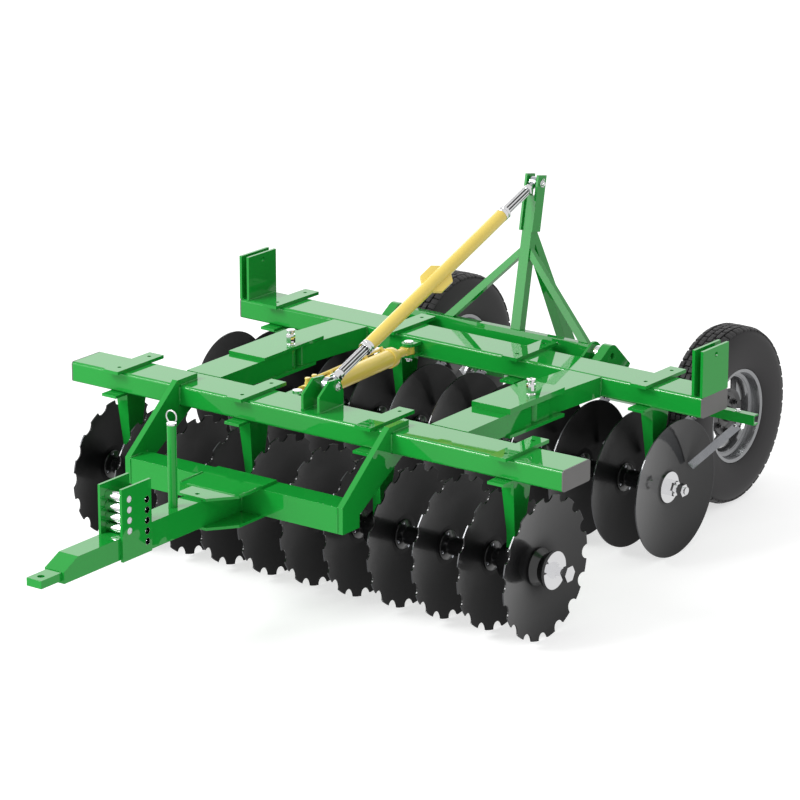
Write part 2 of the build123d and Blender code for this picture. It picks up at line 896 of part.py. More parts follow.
def rock_across(x):
    """Plane across the rockshaft that leans with the mast: its axes point back and up the mast."""
    return Plane(origin=rock.origin + Vector(x, 0, 0), x_dir=rock.x_dir, z_dir=rock.z_dir)


with BuildPart() as rockshaft:
    with BuildSketch(rock_across(rock_mid)):
        Rectangle(rock_w, rock_w)
    extrude(amount=rock_half, both=True)
    with BuildSketch(rock_across(rock_mid)):
        Circle(rock_journal_r)
    extrude(amount=housing_span[1], both=True)
    for side in (-1, 1):
        with BuildSketch(rock_across(rock_mid + side * housing_span[1])):
            Circle(journal_hole[0])
        extrude(amount=-side * journal_hole[1], mode=Mode.SUBTRACT)
keep(rockshaft, "rockshaft")

# The two arms from the rockshaft to the axle beam
axle_dy = wheel_axis[0] - rock_y
axle_dz = wheel_axis[1] - rock_z
arm_length = hypot(axle_dy, axle_dz)
arm_dir = Vector(0, axle_dy, axle_dz).normalized()


def arm_plane(x):
    """Plane across the harrow at x with its first axis from the rockshaft to the wheels' axis."""
    return Plane(origin=rock.origin + Vector(x, 0, 0), x_dir=arm_dir, z_dir=(1, 0, 0))


with BuildPart() as lift_arms:
    for x in arm_x:
        with BuildSketch(arm_plane(x)):
            with Locations((middle(rock_w / 2 - arm_root, arm_length - axle_w / 2), 0)):
                Rectangle(arm_length - axle_w / 2 - rock_w / 2 + arm_root, lift_arm_h)
        extrude(amount=lift_arm_w / 2, both=True)
    with BuildSketch(rock_across(rock_mid)):
        Rectangle(rock_w, rock_w)
    extrude(amount=rock_half, both=True, mode=Mode.SUBTRACT)
keep(lift_arms, "lift_arms")

with BuildPart() as axle_beam:
    with BuildSketch(arm_plane(axle_x[0])):
        with Locations((arm_length, 0)):
            Rectangle(axle_w, axle_w)
    extrude(amount=axle_x[1] - axle_x[0])
    for x0, x1 in (
        (wheel_x["left"] - stub_reach, axle_x[0]),
        (axle_x[1], wheel_x["right"] + stub_reach),
    ):
        with BuildSketch(arm_plane(x0)):
            with Locations((arm_length, 0)):
                Circle(stub_r)
        extrude(amount=x1 - x0)
keep(axle_beam, "axle_beam")


def wheel_axle(x):
    """Plane through a wheel's axis whose sketch axes point up and to the right."""
    return Plane(
        origin=front.from_local_coords((x, wheel_axis[0], wheel_axis[1])), x_dir=(0, 0, 1), z_dir=(0, 1, 0)
    )


def mirrored(half):
    """An outline's points at its positive side, then the same ones at the other side in reverse."""
    return [*half, *((r, -w) for r, w in reversed(half))]


for name, x in wheel_x.items():
    plane = wheel_axle(x)
    bead = (bead_r + bead_gap, rim_w / 2 - rim_t - bead_gap)
    with BuildPart() as tyre:
        with BuildSketch(plane):
            with BuildLine():
                Polyline(*mirrored([bead, (tyre_side[0][0], bead[1]), *tyre_side]), close=True)
            make_face()
        revolve(axis=Axis(plane.origin, (1, 0, 0)))
    keep(tyre, f"{name}_tyre")

    side = 1 if name == "right" else -1
    barrel = mirrored([(flange_r, rim_w / 2 - rim_t), (flange_r, rim_w / 2), (rim_well[0][0], rim_w / 2), *rim_well])
    seat = (bead_r, rim_w / 2 - rim_t)
    disc_reach = middle(rim_well[1][0], bead_r)
    with BuildPart() as rim_part:
        with BuildSketch(plane):
            with BuildLine():
                Polyline(seat, *barrel, (bead_r, -seat[1]), close=True)
            make_face()
            with Locations((disc_reach / 2, -side * wheel_disc_t / 2)):
                Rectangle(disc_reach, wheel_disc_t)
            with Locations((hub_r / 2, 0)):
                Rectangle(hub_r, 2 * hub_half)
            with Locations(((stub_r + running_gap) / 2, 0)):
                Rectangle(stub_r + running_gap, 2 * hub_half, mode=Mode.SUBTRACT)
        revolve(axis=Axis(plane.origin, (1, 0, 0)))
    keep(rim_part, f"{name}_rim")

# Mast with its cheeks and stays
with BuildPart() as mast:
    with BuildSketch(rock_across(mast_x)):
        with Locations((0, middle(rock_w / 2, mast_top))):
            Rectangle(mast_d, mast_top - rock_w / 2)
    extrude(amount=mast_w / 2, both=True)
    for x in (mast_x - mast_w / 2 - cheek_t, mast_x + mast_w / 2):
        with BuildSketch(rock_across(x)):
            with Locations((0, middle(cheek_low, mast_pin_up + cheek_over))):
                Rectangle(cheek_d, mast_pin_up + cheek_over - cheek_low)
            with Locations((0, mast_pin_up)):
                Circle(mast_pin_r + running_gap, mode=Mode.SUBTRACT)
        extrude(amount=cheek_t)
keep(mast, "mast")

with BuildPart() as mast_pin:
    with BuildSketch(rock_across(mast_x)):
        with Locations((0, mast_pin_up)):
            Circle(mast_pin_r)
    extrude(amount=mast_w / 2 + cheek_t + pin_proud, both=True)
keep(mast_pin, "mast_pin")

mast_lean = Plane(
    origin=rock.origin, x_dir=(1, 0, 0), z_dir=(0, -cos(radians(rock_lean)), sin(radians(rock_lean)))
)
with BuildPart() as mast_stays:
    for foot_x, side in ((stay_foot_x[0], -1), (stay_foot_x[1], 1)):
        top_x = mast_x + side * (mast_w / 2)
        run = Vector(foot_x - top_x, rock_w / 2 - stay_up, 0)
        drop = stay_t / 2 / (abs(run.X) / run.length)
        with BuildSketch(mast_lean):
            with BuildLine():
                Polyline(
                    (top_x, stay_up + drop),
                    (foot_x + side * stay_w / 2, rock_w / 2),
                    (foot_x - side * stay_w / 2, rock_w / 2),
                    (top_x, stay_up - drop),
                    close=True,
                )
            make_face()
        extrude(amount=stay_t / 2, both=True)
keep(mast_stays, "mast_stays")

axle_in_rock = rock.to_local_coords(rock.origin + arm_dir * arm_length)
with BuildPart() as back_stay:
    with BuildSketch(rock_across(mast_x)):
        with BuildLine():
            Polyline(
                (mast_d / 2, back_stay_up + back_stay_w / 2),
                (mast_d / 2, back_stay_up - back_stay_w / 2),
                *[(axle_in_rock.X + back, axle_in_rock.Y + up) for back, up in back_stay_foot],
                close=True,
            )
        make_face()
    extrude(amount=mast_w / 2, both=True)
    with BuildSketch(arm_plane(axle_x[0])):
        with Locations((arm_length, 0)):
            Rectangle(axle_w, axle_w)
    extrude(amount=axle_x[1] - axle_x[0], mode=Mode.SUBTRACT)
keep(back_stay, "back_stay")

# Ears on the front beam that hold the turnbuckle's front eye
with BuildPart() as link_ears:
    for x in ears_x:
        with BuildSketch(across(front, x)):
            with BuildLine():
                Polyline(
                    (ears_outline[0][0], beam_top),
                    *[(y, beam_top + up) for y, up in ears_outline],
                    (ears_outline[-1][0], beam_top),
                    close=True,
                )
            make_face()
            with Locations(ears_pin):
                Circle(mast_pin_r + running_gap, mode=Mode.SUBTRACT)
        extrude(amount=-ears_t)
keep(link_ears, "link_ears")

# The turnbuckle's line, from the ball between the ears to the pin through the mast's cheeks
mast_pin_at = rock.from_local_coords((0, mast_pin_up, 0)) + Vector(mast_x, 0, 0)
ears_mid = middle(ears_x[0] - ears_t, ears_x[1])
link_start = front.from_local_coords((ears_mid, ears_pin[0], ears_pin[1]))
link_line = mast_pin_at - link_start
link_length = link_line.length
link_dir = link_line.normalized()
link_side = Vector(1, 0, 0) - link_dir * link_dir.X
link_plane = Plane(origin=link_start, x_dir=link_side.normalized(), z_dir=link_dir)
link_span = (link_head, link_length - link_tail)


def along_link(distance):
    """Plane square to the turnbuckle at a distance from its front eye."""
    return Plane(origin=link_start + link_dir * distance, x_dir=link_plane.x_dir, z_dir=link_dir)


def link_eye(distance):
    """Plane of an eye, square to the pin it turns on."""
    return Plane(origin=link_start + link_dir * distance, x_dir=(0, 1, 0), z_dir=(1, 0, 0))


ball_axis = Plane(origin=link_start, x_dir=(1, 0, 0), z_dir=(0, -1, 0))
with BuildPart() as link_ball:
    pin_half = (ears_x[1] - ears_x[0] + ears_t) / 2 + pin_proud
    neck = sqrt(ball_r**2 - mast_pin_r**2)
    with BuildSketch(ball_axis):
        with BuildLine():
            ThreePointArc((-neck, mast_pin_r), (0, ball_r), (neck, mast_pin_r))
            Polyline(
                (neck, mast_pin_r),
                (pin_half, mast_pin_r),
                (pin_half, 0),
                (-pin_half, 0),
                (-pin_half, mast_pin_r),
                (-neck, mast_pin_r),
            )
        make_face()
    revolve(axis=Axis(link_start, (1, 0, 0)))
keep(link_ball, "link_ball")

# The socket that turns on the ball, inside the front rod's eye
with BuildPart() as link_socket:
    hollow_r = ball_r + running_gap
    mouth_r = sqrt(hollow_r**2 - (socket_w / 2) ** 2)
    with BuildSketch(ball_axis):
        with BuildLine():
            ThreePointArc((-socket_w / 2, mouth_r), (0, hollow_r), (socket_w / 2, mouth_r))
            Polyline(
                (socket_w / 2, mouth_r),
                (socket_w / 2, socket_r),
                (-socket_w / 2, socket_r),
                (-socket_w / 2, mouth_r),
            )
        make_face()
    revolve(axis=Axis(link_start, (1, 0, 0)))
keep(link_socket, "link_socket")

# Turnbuckle: a tube with a collar at each end, between two rods that each end in an eye
with BuildPart() as link_tube:
    with BuildSketch(along_link(link_span[0])):
        Circle(link_r)
    extrude(amount=link_span[1] - link_span[0])
    flag_mid = link_start + link_dir * middle(*link_span)
    with BuildSketch(Plane(origin=flag_mid, x_dir=link_dir, z_dir=link_plane.x_dir)):
        Rectangle(*flag_size)
        chamfer(vertices(), flag_corner)
    extrude(amount=flag_t / 2, both=True)
    with BuildSketch(along_link(link_span[0])):
        Circle(link_rod_r + link_play)
    extrude(amount=link_span[1] - link_span[0], mode=Mode.SUBTRACT)
keep(link_tube, "link_tube")

with BuildPart() as link_collars:
    for start in (link_span[0] - link_collar_l, link_span[1]):
        with BuildSketch(along_link(start)):
            RegularPolygon(link_collar_r, 6)
            Circle(link_rod_r + link_play, mode=Mode.SUBTRACT)
        extrude(amount=link_collar_l)
keep(link_collars, "link_collars")

with BuildPart() as link_front_rod:
    with BuildSketch(along_link(0)):
        Circle(link_rod_r)
    extrude(amount=link_span[0] + link_grip)
    with BuildSketch(link_eye(0)):
        Circle(link_front_eye_r)
    extrude(amount=socket_w / 2, both=True)
    with BuildSketch(link_eye(0)):
        Circle(socket_r + running_gap)
    extrude(amount=link_eye_t, both=True, mode=Mode.SUBTRACT)
keep(link_front_rod, "link_front_rod")

with BuildPart() as link_back_rod:
    with BuildSketch(along_link(link_length)):
        Circle(link_rod_r)
    extrude(amount=-(link_length - link_span[1] + link_grip))
    with BuildSketch(link_eye(link_length)):
        Circle(link_eye_r)
    extrude(amount=link_eye_t / 2, both=True)
    with BuildSketch(link_eye(link_length)):
        Circle(mast_pin_r + link_eye_slack)
    extrude(amount=link_eye_t, both=True, mode=Mode.SUBTRACT)
keep(link_back_rod, "link_back_rod")

# The angle cylinder between the two beams
ram_dir = Vector(ram_rear[0] - ram_front[0], ram_rear[1] - ram_front[1], 0)
ram_length = ram_dir.length
ram_dir = ram_dir.normalized()
ram_start = front.from_local_coords((*ram_front, ram_z))
ram_side = Vector(ram_dir.Y, -ram_dir.X, 0)
barrel_span = (barrel_start, ram_length - ram_tail)


def along_ram(distance):
    """Plane square to the cylinder at a distance from its front pin."""
    return Plane(origin=ram_start + ram_dir * distance, x_dir=ram_side, z_dir=ram_dir)


def ram_level(distance, z):
    """Level plane at a distance along the cylinder and a height above its axis."""
    return Plane(origin=ram_start + ram_dir * distance + Vector(0, 0, z), x_dir=ram_side, z_dir=(0, 0, 1))


with BuildPart() as ram_barrel:
    with BuildSketch(along_ram(barrel_span[0])):
        Circle(barrel_r)
    extrude(amount=barrel_span[1] - barrel_span[0])
    with BuildSketch(along_ram(barrel_span[1])):
        Circle(gland_r)
    extrude(amount=gland_t)
    with BuildSketch(ram_level(0, -ram_eye_t / 2)):
        Circle(ram_eye_r)
        with Locations((0, barrel_span[0] / 2)):
            Rectangle(ram_eye_neck, barrel_span[0])
    extrude(amount=ram_eye_t)
    for place in port_at:
        with BuildSketch(ram_level(place, 0)):
            Circle(port_r)
        extrude(amount=barrel_r + port_h)
    with BuildSketch(along_ram(barrel_span[0] + barrel_base)):
        Circle(barrel_bore_r)
    extrude(amount=barrel_span[1] + gland_t, mode=Mode.SUBTRACT)
    with BuildSketch(ram_level(0, -ram_eye_t)):
        Circle(ram_pin_r + running_gap)
    extrude(amount=2 * ram_eye_t, mode=Mode.SUBTRACT)
keep(ram_barrel, "ram_barrel")

with BuildPart() as ram_rod:
    with BuildSketch(along_ram(barrel_span[0] + rod_start)):
        Circle(rod_r)
    extrude(amount=ram_length - barrel_span[0] - rod_start - ram_shank)
    with BuildSketch(ram_level(ram_length, -ram_eye_t / 2)):
        Circle(ram_eye_r)
        with Locations((0, -ram_shank / 2)):
            Rectangle(ram_eye_neck, ram_shank)
    extrude(amount=ram_eye_t)
    with BuildSketch(ram_level(ram_length, -ram_eye_t)):
        Circle(ram_pin_r + ram_eye_slack)
    extrude(amount=2 * ram_eye_t, mode=Mode.SUBTRACT)
keep(ram_rod, "ram_rod")


def ram_lugs(base, place, face):
    """Two level lugs above and below a cylinder's eye, welded to a beam's face."""
    near = ram_eye_t / 2 + ram_lug_gap
    at = base.to_local_coords(front.from_local_coords((*place, 0)))
    with BuildPart() as piece:
        for z in (ram_z + near, ram_z - near - ram_lug_t):
            with BuildSketch(level(base, z)):
                with Locations((at.X, at.Y)):
                    Circle(ram_lug_w / 2)
                with Locations((at.X, middle(at.Y, face))):
                    Rectangle(ram_lug_w, abs(at.Y - face))
                with Locations((at.X, at.Y)):
                    Circle(ram_pin_r + running_gap, mode=Mode.SUBTRACT)
            extrude(amount=ram_lug_t)
    return piece


keep(ram_lugs(front, ram_front, beam_w), "front_ram_lugs")
keep(ram_lugs(rear, ram_rear, 0.0), "rear_ram_lugs")


def ram_pin(place):
    """A headed pin through a pair of lugs and the eye between them."""
    near = ram_eye_t / 2 + ram_lug_gap + ram_lug_t
    with BuildPart() as piece:
        with BuildSketch(level(front, ram_z - near)):
            with Locations(place):
                Circle(ram_pin_r)
        extrude(amount=2 * near)
        with BuildSketch(level(front, ram_z + near)):
            with Locations(place):
                Circle(ram_pin_head[0])
        extrude(amount=ram_pin_head[1])
    return piece


keep(ram_pin(ram_front), "front_ram_pin")
keep(ram_pin(ram_rear), "rear_ram_pin")
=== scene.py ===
"""Looks of a trailed disc harrow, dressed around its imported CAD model."""

from __future__ import annotations

import json
import logging
import math
from collections.abc import Callable, Sequence
from dataclasses import dataclass, field, replace
from enum import Enum

import bmesh
import bpy
from mathutils import Matrix, Vector


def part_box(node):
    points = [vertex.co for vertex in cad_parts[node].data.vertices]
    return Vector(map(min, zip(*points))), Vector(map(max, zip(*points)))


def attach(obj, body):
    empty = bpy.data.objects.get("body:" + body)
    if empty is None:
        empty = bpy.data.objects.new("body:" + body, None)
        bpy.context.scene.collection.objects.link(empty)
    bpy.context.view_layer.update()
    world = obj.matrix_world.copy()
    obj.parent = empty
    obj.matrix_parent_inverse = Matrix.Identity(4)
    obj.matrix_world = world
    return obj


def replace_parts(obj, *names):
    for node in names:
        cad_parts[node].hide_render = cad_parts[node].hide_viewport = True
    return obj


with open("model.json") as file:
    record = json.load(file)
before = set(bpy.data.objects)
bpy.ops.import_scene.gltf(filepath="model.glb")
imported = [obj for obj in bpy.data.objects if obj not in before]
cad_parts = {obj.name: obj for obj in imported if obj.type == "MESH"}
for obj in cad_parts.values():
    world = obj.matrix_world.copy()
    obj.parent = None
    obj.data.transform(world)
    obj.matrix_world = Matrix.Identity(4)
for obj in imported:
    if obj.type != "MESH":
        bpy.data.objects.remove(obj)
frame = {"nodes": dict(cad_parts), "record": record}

LOG = logging.getLogger("disc_harrow")
MM = 0.001
SMOOTH_ANGLE = math.radians(32)
MERGE_WITHIN = 1e-7
HEXAGON = 6
PATCH_DETAIL = 3.0
GRAIN_DETAIL = 2.0
EDGE_SAMPLES = 4
OPENNESS_SAMPLES = 8
WHITE = (1.0, 1.0, 1.0, 1.0)
# Sockets of the Mix node when it mixes colours, which share their names with its other sockets
MIX_SHARE = 0
MIX_FROM = 6
MIX_TO = 7
MIX_COLOUR = 2

# The middle of the front beam's front face, which the CAD part is measured from, in millimetres
FRONT_X = 114.1
FRONT_Y = -426.5
# The rear beam, measured from that same place
REAR_X = -41.7
REAR_Y = 1183.6
REAR_TURN = math.radians(1.42)
# The gangs' axes: how far back they are from the face of their beam, and how high
FRONT_AXIS_BACK = 95.0
REAR_AXIS_BACK = 102.0
DISC_AXIS_Z = 305.0

ALONG_X = Vector((1, 0, 0))
BACK = Vector((0, 1, 0))
UP = Vector((0, 0, 1))
REAR_ALONG = Vector((math.cos(REAR_TURN), -math.sin(REAR_TURN), 0))
REAR_BACK = Vector((math.sin(REAR_TURN), math.cos(REAR_TURN), 0))


def front_at(x: float, y: float, z: float) -> Vector:
    """Place measured from the front beam.

    Args:
        x: Millimetres to the right along the beam.
        y: Millimetres back from its front face.
        z: Millimetres above the ground.

    Returns:
        The place in the model's frame, in metres.
    """
    return Vector((x + FRONT_X, y + FRONT_Y, z)) * MM


def rear_at(u: float, v: float, z: float) -> Vector:
    """Place measured along the rear beam.

    Args:
        u: Millimetres to the right along the beam.
        v: Millimetres back from its front face.
        z: Millimetres above the ground.

    Returns:
        The place in the model's frame, in metres.
    """
    return front_at(REAR_X, REAR_Y, z) + (REAR_ALONG * u + REAR_BACK * v) * MM


def ray(angle: float, back: Vector = BACK) -> Vector:
    """Way out from an axis that lies across the harrow: back at no angle, up at a quarter turn."""
    return back * math.cos(angle) + UP * math.sin(angle)


class Slot(Enum):
    """Material slots of the record."""

    GREEN = "green"
    GREY_CAP = "grey_cap"
    DISC_STEEL = "disc_steel"
    CASTING = "casting"
    CHROME = "chrome"
    YELLOW = "yellow"
    ROD_STEEL = "rod_steel"
    RIM_SILVER = "rim_silver"
    TYRE = "tyre"


class Body(Enum):
    """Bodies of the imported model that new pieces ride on."""

    FRONT_FRAME = "front_frame"
    FRONT_GANG = "front_gang"
    REAR_FRAME = "rear_frame"
    REAR_GANG = "rear_gang"
    WHEEL_FRAME = "wheel_frame"
    LEFT_WHEEL = "left_wheel"
    RIGHT_WHEEL = "right_wheel"
    RAM_BODY = "ram_body"
    LINK_FRONT = "link_front"
    LINK_MIDDLE = "link_middle"
    LINK_BACK = "link_back"


def linear(colour: str) -> tuple[float, float, float, float]:
    """Linear colour of an sRGB hex value.

    Args:
        colour: Six hex digits after a hash.

    Returns:
        Red, green, blue and full alpha.
    """
    parts = [int(colour[i : i + 2], 16) / 255 for i in (1, 3, 5)]
    low = [p / 12.92 if p <= 0.04045 else ((p + 0.055) / 1.055) ** 2.4 for p in parts]
    return low[0], low[1], low[2], 1.0


def add_node(
    tree: bpy.types.NodeTree,
    kind: str,
    values: dict[str | int, object] | None = None,
    links: dict[str | int, bpy.types.NodeSocket] | None = None,
    **settings: object,
) -> bpy.types.Node:
    """Adds a node with its settings and links.

    Args:
        tree: The node tree it is added to.
        kind: Blender's name for the node.
        values: Fixed values of its inputs, by name or number.
        links: Sockets that feed its inputs, by name or number.
        **settings: Properties of the node.

    Returns:
        The node.
    """
    made = tree.nodes.new(kind)
    for name, value in settings.items():
        setattr(made, name, value)
    for name, value in (values or {}).items():
        made.inputs[name].default_value = value
    for name, socket in (links or {}).items():
        tree.links.new(socket, made.inputs[name])
    return made


def per_grain(grain: float) -> float:
    """Texture scale that gives a grain in millimetres on object coordinates in metres."""
    return 1 / (grain * MM)


@dataclass(frozen=True)
class Finish:
    """A surface with two close colours that wander, a grain and an even gloss.

    Sizes are in millimetres. The patch is how wide the colour wanders, the grain how wide the bumps are, the
    bump how high they are, and the edge how far the corners are rounded off. The spread is how far the
    roughness wanders.
    """

    name: str
    slot: Slot
    colour: str
    shade: str
    patch: float
    grain: float
    bump: float
    roughness: float
    spread: float = 0.04
    metallic: float = 0.0
    ior: float = 1.5
    coat: float = 0.0
    coat_roughness: float = 0.02
    coat_ior: float = 1.5
    sheen: float = 0.5
    edge: float = 1.5

    def build(self) -> bpy.types.Material:
        """Makes the material once and hands the same one out after that.

        Returns:
            The material.
        """
        known = bpy.data.materials.get(self.name)
        if known is not None:
            return known
        made = bpy.data.materials.new(self.name)
        made.use_nodes = True
        tree = made.node_tree
        shader = tree.nodes["Principled BSDF"]
        for socket, value in (
            ("Metallic", self.metallic),
            ("IOR", self.ior),
            ("Specular IOR Level", self.sheen),
            ("Coat Weight", self.coat),
            ("Coat Roughness", self.coat_roughness),
            ("Coat IOR", self.coat_ior),
        ):
            shader.inputs[socket].default_value = value
        place = add_node(tree, "ShaderNodeTexCoord").outputs["Object"]
        self.paint(tree, shader, place)
        self.emboss(tree, shader, place)
        return made

    def patches(self, tree: bpy.types.NodeTree, place: bpy.types.NodeSocket) -> bpy.types.NodeSocket:
        """How far each spot is from the colour to the shade.

        Args:
            tree: The material's nodes.
            place: The object coordinates.

        Returns:
            The socket with that share.
        """
        noise = add_node(
            tree,
            "ShaderNodeTexNoise",
            {"Scale": per_grain(self.patch), "Detail": PATCH_DETAIL},
            {"Vector": place},
        )
        return noise.outputs["Fac"]

    def height(self, tree: bpy.types.NodeTree, place: bpy.types.NodeSocket) -> bpy.types.NodeSocket:
        """Height of the surface's grain.

        Args:
            tree: The material's nodes.
            place: The object coordinates.

        Returns:
            The socket with that height.
        """
        noise = add_node(
            tree,
            "ShaderNodeTexNoise",
            {"Scale": per_grain(self.grain), "Detail": GRAIN_DETAIL},
            {"Vector": place},
        )
        return noise.outputs["Fac"]

    def paint(
        self, tree: bpy.types.NodeTree, shader: bpy.types.Node, place: bpy.types.NodeSocket
    ) -> None:
        """Feeds the shader's colour and roughness.

        Args:
            tree: The material's nodes.
            shader: Its shader.
            place: The object coordinates.
        """
        share = self.patches(tree, place)
        blend = add_node(
            tree,
            "ShaderNodeMix",
            {MIX_FROM: linear(self.colour), MIX_TO: linear(self.shade)},
            {MIX_SHARE: share},
            data_type="RGBA",
        )
        gloss = add_node(
            tree,
            "ShaderNodeMapRange",
            {"To Min": max(self.roughness - self.spread, 0.0), "To Max": self.roughness + self.spread},
            {"Value": share},
        )
        tree.links.new(blend.outputs[MIX_COLOUR], shader.inputs["Base Color"])
        tree.links.new(gloss.outputs["Result"], shader.inputs["Roughness"])

    def emboss(
        self, tree: bpy.types.NodeTree, shader: bpy.types.Node, place: bpy.types.NodeSocket
    ) -> None:
        """Feeds the shader's normal with the grain over softened edges.

        Args:
            tree: The material's nodes.
            shader: Its shader.
            place: The object coordinates.
        """
        edge = add_node(tree, "ShaderNodeBevel", {"Radius": self.edge * MM}, samples=EDGE_SAMPLES)
        bump = add_node(
            tree,
            "ShaderNodeBump",
            {"Strength": 1.0, "Distance": self.bump * MM},
            {"Height": self.height(tree, place), "Normal": edge.outputs["Normal"]},
        )
        tree.links.new(bump.outputs["Normal"], shader.inputs["Normal"])
        if self.coat:
            tree.links.new(edge.outputs["Normal"], shader.inputs["Coat Normal"])


@dataclass(frozen=True)
class RolledFinish(Finish):
    """A finish with rings about an axis, as rolling and grinding leave on a disc.

    The axis passes through a place in metres and is turned by an angle in radians. The rim is the radius
    where the bare steel starts, and the fade how soon it is bare. The two openness values are how open a
    place is where the lacquer starts to shine and where it shines fully, seen over the reach; less open
    places between the discs have their lacquer's reflection cut, as painted shade.
    """

    axis_at: tuple[float, float, float] = (0.0, 0.0, 0.0)
    turn: float = 0.0
    ring: float = 6.0
    rim: float = 303.2
    fade: float = 0.6
    bare: str = "#3F4043"
    gloss_shade_range: tuple[float, float] = (0.50, 0.86)
    reach: float = 320.0

    def rings(self, tree: bpy.types.NodeTree, place: bpy.types.NodeSocket) -> bpy.types.NodeSocket:
        """Distance from the axis, in metres.

        Args:
            tree: The material's nodes.
            place: The object coordinates.

        Returns:
            The socket with the distance.
        """
        centred = add_node(
            tree,
            "ShaderNodeMapping",
            {"Location": self.axis_at, "Rotation": (0.0, 0.0, self.turn)},
            {"Vector": place},
            vector_type="TEXTURE",
        )
        flat = add_node(
            tree,
            "ShaderNodeVectorMath",
            {1: (0.0, 1.0, 1.0)},
            {0: centred.outputs["Vector"]},
            operation="MULTIPLY",
        )
        length = add_node(
            tree, "ShaderNodeVectorMath", links={0: flat.outputs["Vector"]}, operation="LENGTH"
        )
        return length.outputs["Value"]

    def height(self, tree: bpy.types.NodeTree, place: bpy.types.NodeSocket) -> bpy.types.NodeSocket:
        """Height of the rings.

        Args:
            tree: The material's nodes.
            place: The object coordinates.

        Returns:
            The socket with that height.
        """
        noise = add_node(
            tree,
            "ShaderNodeTexNoise",
            {"Scale": per_grain(self.ring), "Detail": GRAIN_DETAIL},
            {"W": self.rings(tree, place)},
            noise_dimensions="1D",
        )
        return noise.outputs["Fac"]

    def paint(
        self, tree: bpy.types.NodeTree, shader: bpy.types.Node, place: bpy.types.NodeSocket
    ) -> None:
        """Feeds the shader's colour and roughness, with bare ground steel along the rim, and its coat weight
        as painted shade between the discs.

        Args:
            tree: The material's nodes.
            shader: Its shader.
            place: The object coordinates.
        """
        super().paint(tree, shader, place)
        lacquer = shader.inputs["Base Color"].links[0].from_socket
        ground = add_node(
            tree,
            "ShaderNodeMapRange",
            {"From Min": self.rim * MM, "From Max": (self.rim + self.fade) * MM},
            {"Value": self.rings(tree, place)},
        )
        colour = add_node(
            tree,
            "ShaderNodeMix",
            {MIX_TO: linear(self.bare)},
            {MIX_SHARE: ground.outputs["Result"], MIX_FROM: lacquer},
            data_type="RGBA",
        )
        tree.links.new(colour.outputs[MIX_COLOUR], shader.inputs["Base Color"])
        tree.links.new(ground.outputs["Result"], shader.inputs["Metallic"])
        # Painted shade: the lacquer's reflection is cut between the discs, by how hemmed in ambient
        # occlusion finds each place
        self.paint_shade_between_discs(tree, shader)

    def paint_shade_between_discs(self, tree: bpy.types.NodeTree, shader: bpy.types.Node) -> None:
        """Paints shade between the discs: cuts the lacquer's reflection where ambient occlusion finds a disc
        hemmed in by its neighbours, and leaves it glossy only where a disc stands open.

        Args:
            tree: The material's nodes.
            shader: Its shader.
        """
        openness = add_node(
            tree, "ShaderNodeAmbientOcclusion", {"Distance": self.reach * MM}, samples=OPENNESS_SAMPLES
        )
        share = add_node(
            tree,
            "ShaderNodeMapRange",
            {"From Min": self.gloss_shade_range[0], "From Max": self.gloss_shade_range[1], "To Max": self.coat},
            {"Value": openness.outputs["AO"]},
        )
        tree.links.new(share.outputs["Result"], shader.inputs["Coat Weight"])


# Two-pack enamel sprayed on welded steel: deep colour under a wet skin that mirrors what stands over it
ENAMEL = Finish(
    "sprayed_green_enamel", Slot.GREEN, "#189234", "#148C2F", 420, 14, 0.010, 0.30,
    coat=1.0, coat_ior=1.52, sheen=0.0, edge=0.8,
)
# Primer-grey paint on the end caps: flat and even, with hardly a shine
CAP_PAINT = Finish("satin_grey_paint", Slot.GREY_CAP, "#626160", "#5C5B5A", 160, 3, 0.03, 0.48)
# Quenched boron steel dipped in black lacquer: near black, with a soft sheen in rings, and its lacquer's
# reflection cut between the discs as painted shade
FRONT_DISC = RolledFinish(
    "lacquered_boron_steel_front", Slot.DISC_STEEL, "#09090A", "#0D0D0E", 90, 4, 0.03, 0.34,
    spread=0.05, coat=1.0, coat_roughness=0.05, sheen=0.12,
    axis_at=tuple(front_at(0, FRONT_AXIS_BACK, DISC_AXIS_Z)),
)
REAR_DISC = replace(
    FRONT_DISC,
    name="lacquered_boron_steel_rear",
    axis_at=tuple(rear_at(0, REAR_AXIS_BACK, DISC_AXIS_Z)),
    turn=-REAR_TURN,
)
# Grey iron cast in sand and painted black: a pebbled skin with a dull shine
CASTING = Finish(
    "painted_sand_casting", Slot.CASTING, "#0C0C0D", "#121213", 40, 2.5, 0.15, 0.30,
    coat=0.8, coat_roughness=0.08,
)
# Zinc electroplated steel, polished bright: nearly a mirror
BRIGHT_PLATE = Finish(
    "bright_zinc_plate", Slot.CHROME, "#F8F8F9", "#F0F0F2", 30, 1.5, 0.01, 0.06,
    spread=0.02, metallic=1.0, edge=0.8,
)
# Yellow enamel on the cylinder and turnbuckle: warm, with a broad highlight
YELLOW_ENAMEL = Finish(
    "sprayed_yellow_enamel", Slot.YELLOW, "#E8CE5F", "#E2C756", 160, 10, 0.02, 0.34,
    coat=0.7, coat_roughness=0.05,
)
# Turned and ground rod steel: bright, with rings too fine to see apart
TURNED_ROD = Finish(
    "ground_rod_steel", Slot.ROD_STEEL, "#C9CCD2", "#B9BCC3", 20, 1.2, 0.03, 0.20,
    metallic=1.0, edge=0.6,
)
# Spring steel of the scraper blades, scoured bright by soil along its length
BLADE_STEEL = Finish(
    "scoured_spring_steel", Slot.DISC_STEEL, "#A4A6AA", "#96989C", 25, 1.5, 0.02, 0.18,
    metallic=1.0,
)
# Silver wheel paint: fine metal flakes under a satin skin
WHEEL_SILVER = Finish(
    "silver_wheel_paint", Slot.RIM_SILVER, "#A2A3A5", "#9A9B9D", 60, 1.5, 0.03, 0.22,
    metallic=0.85,
)
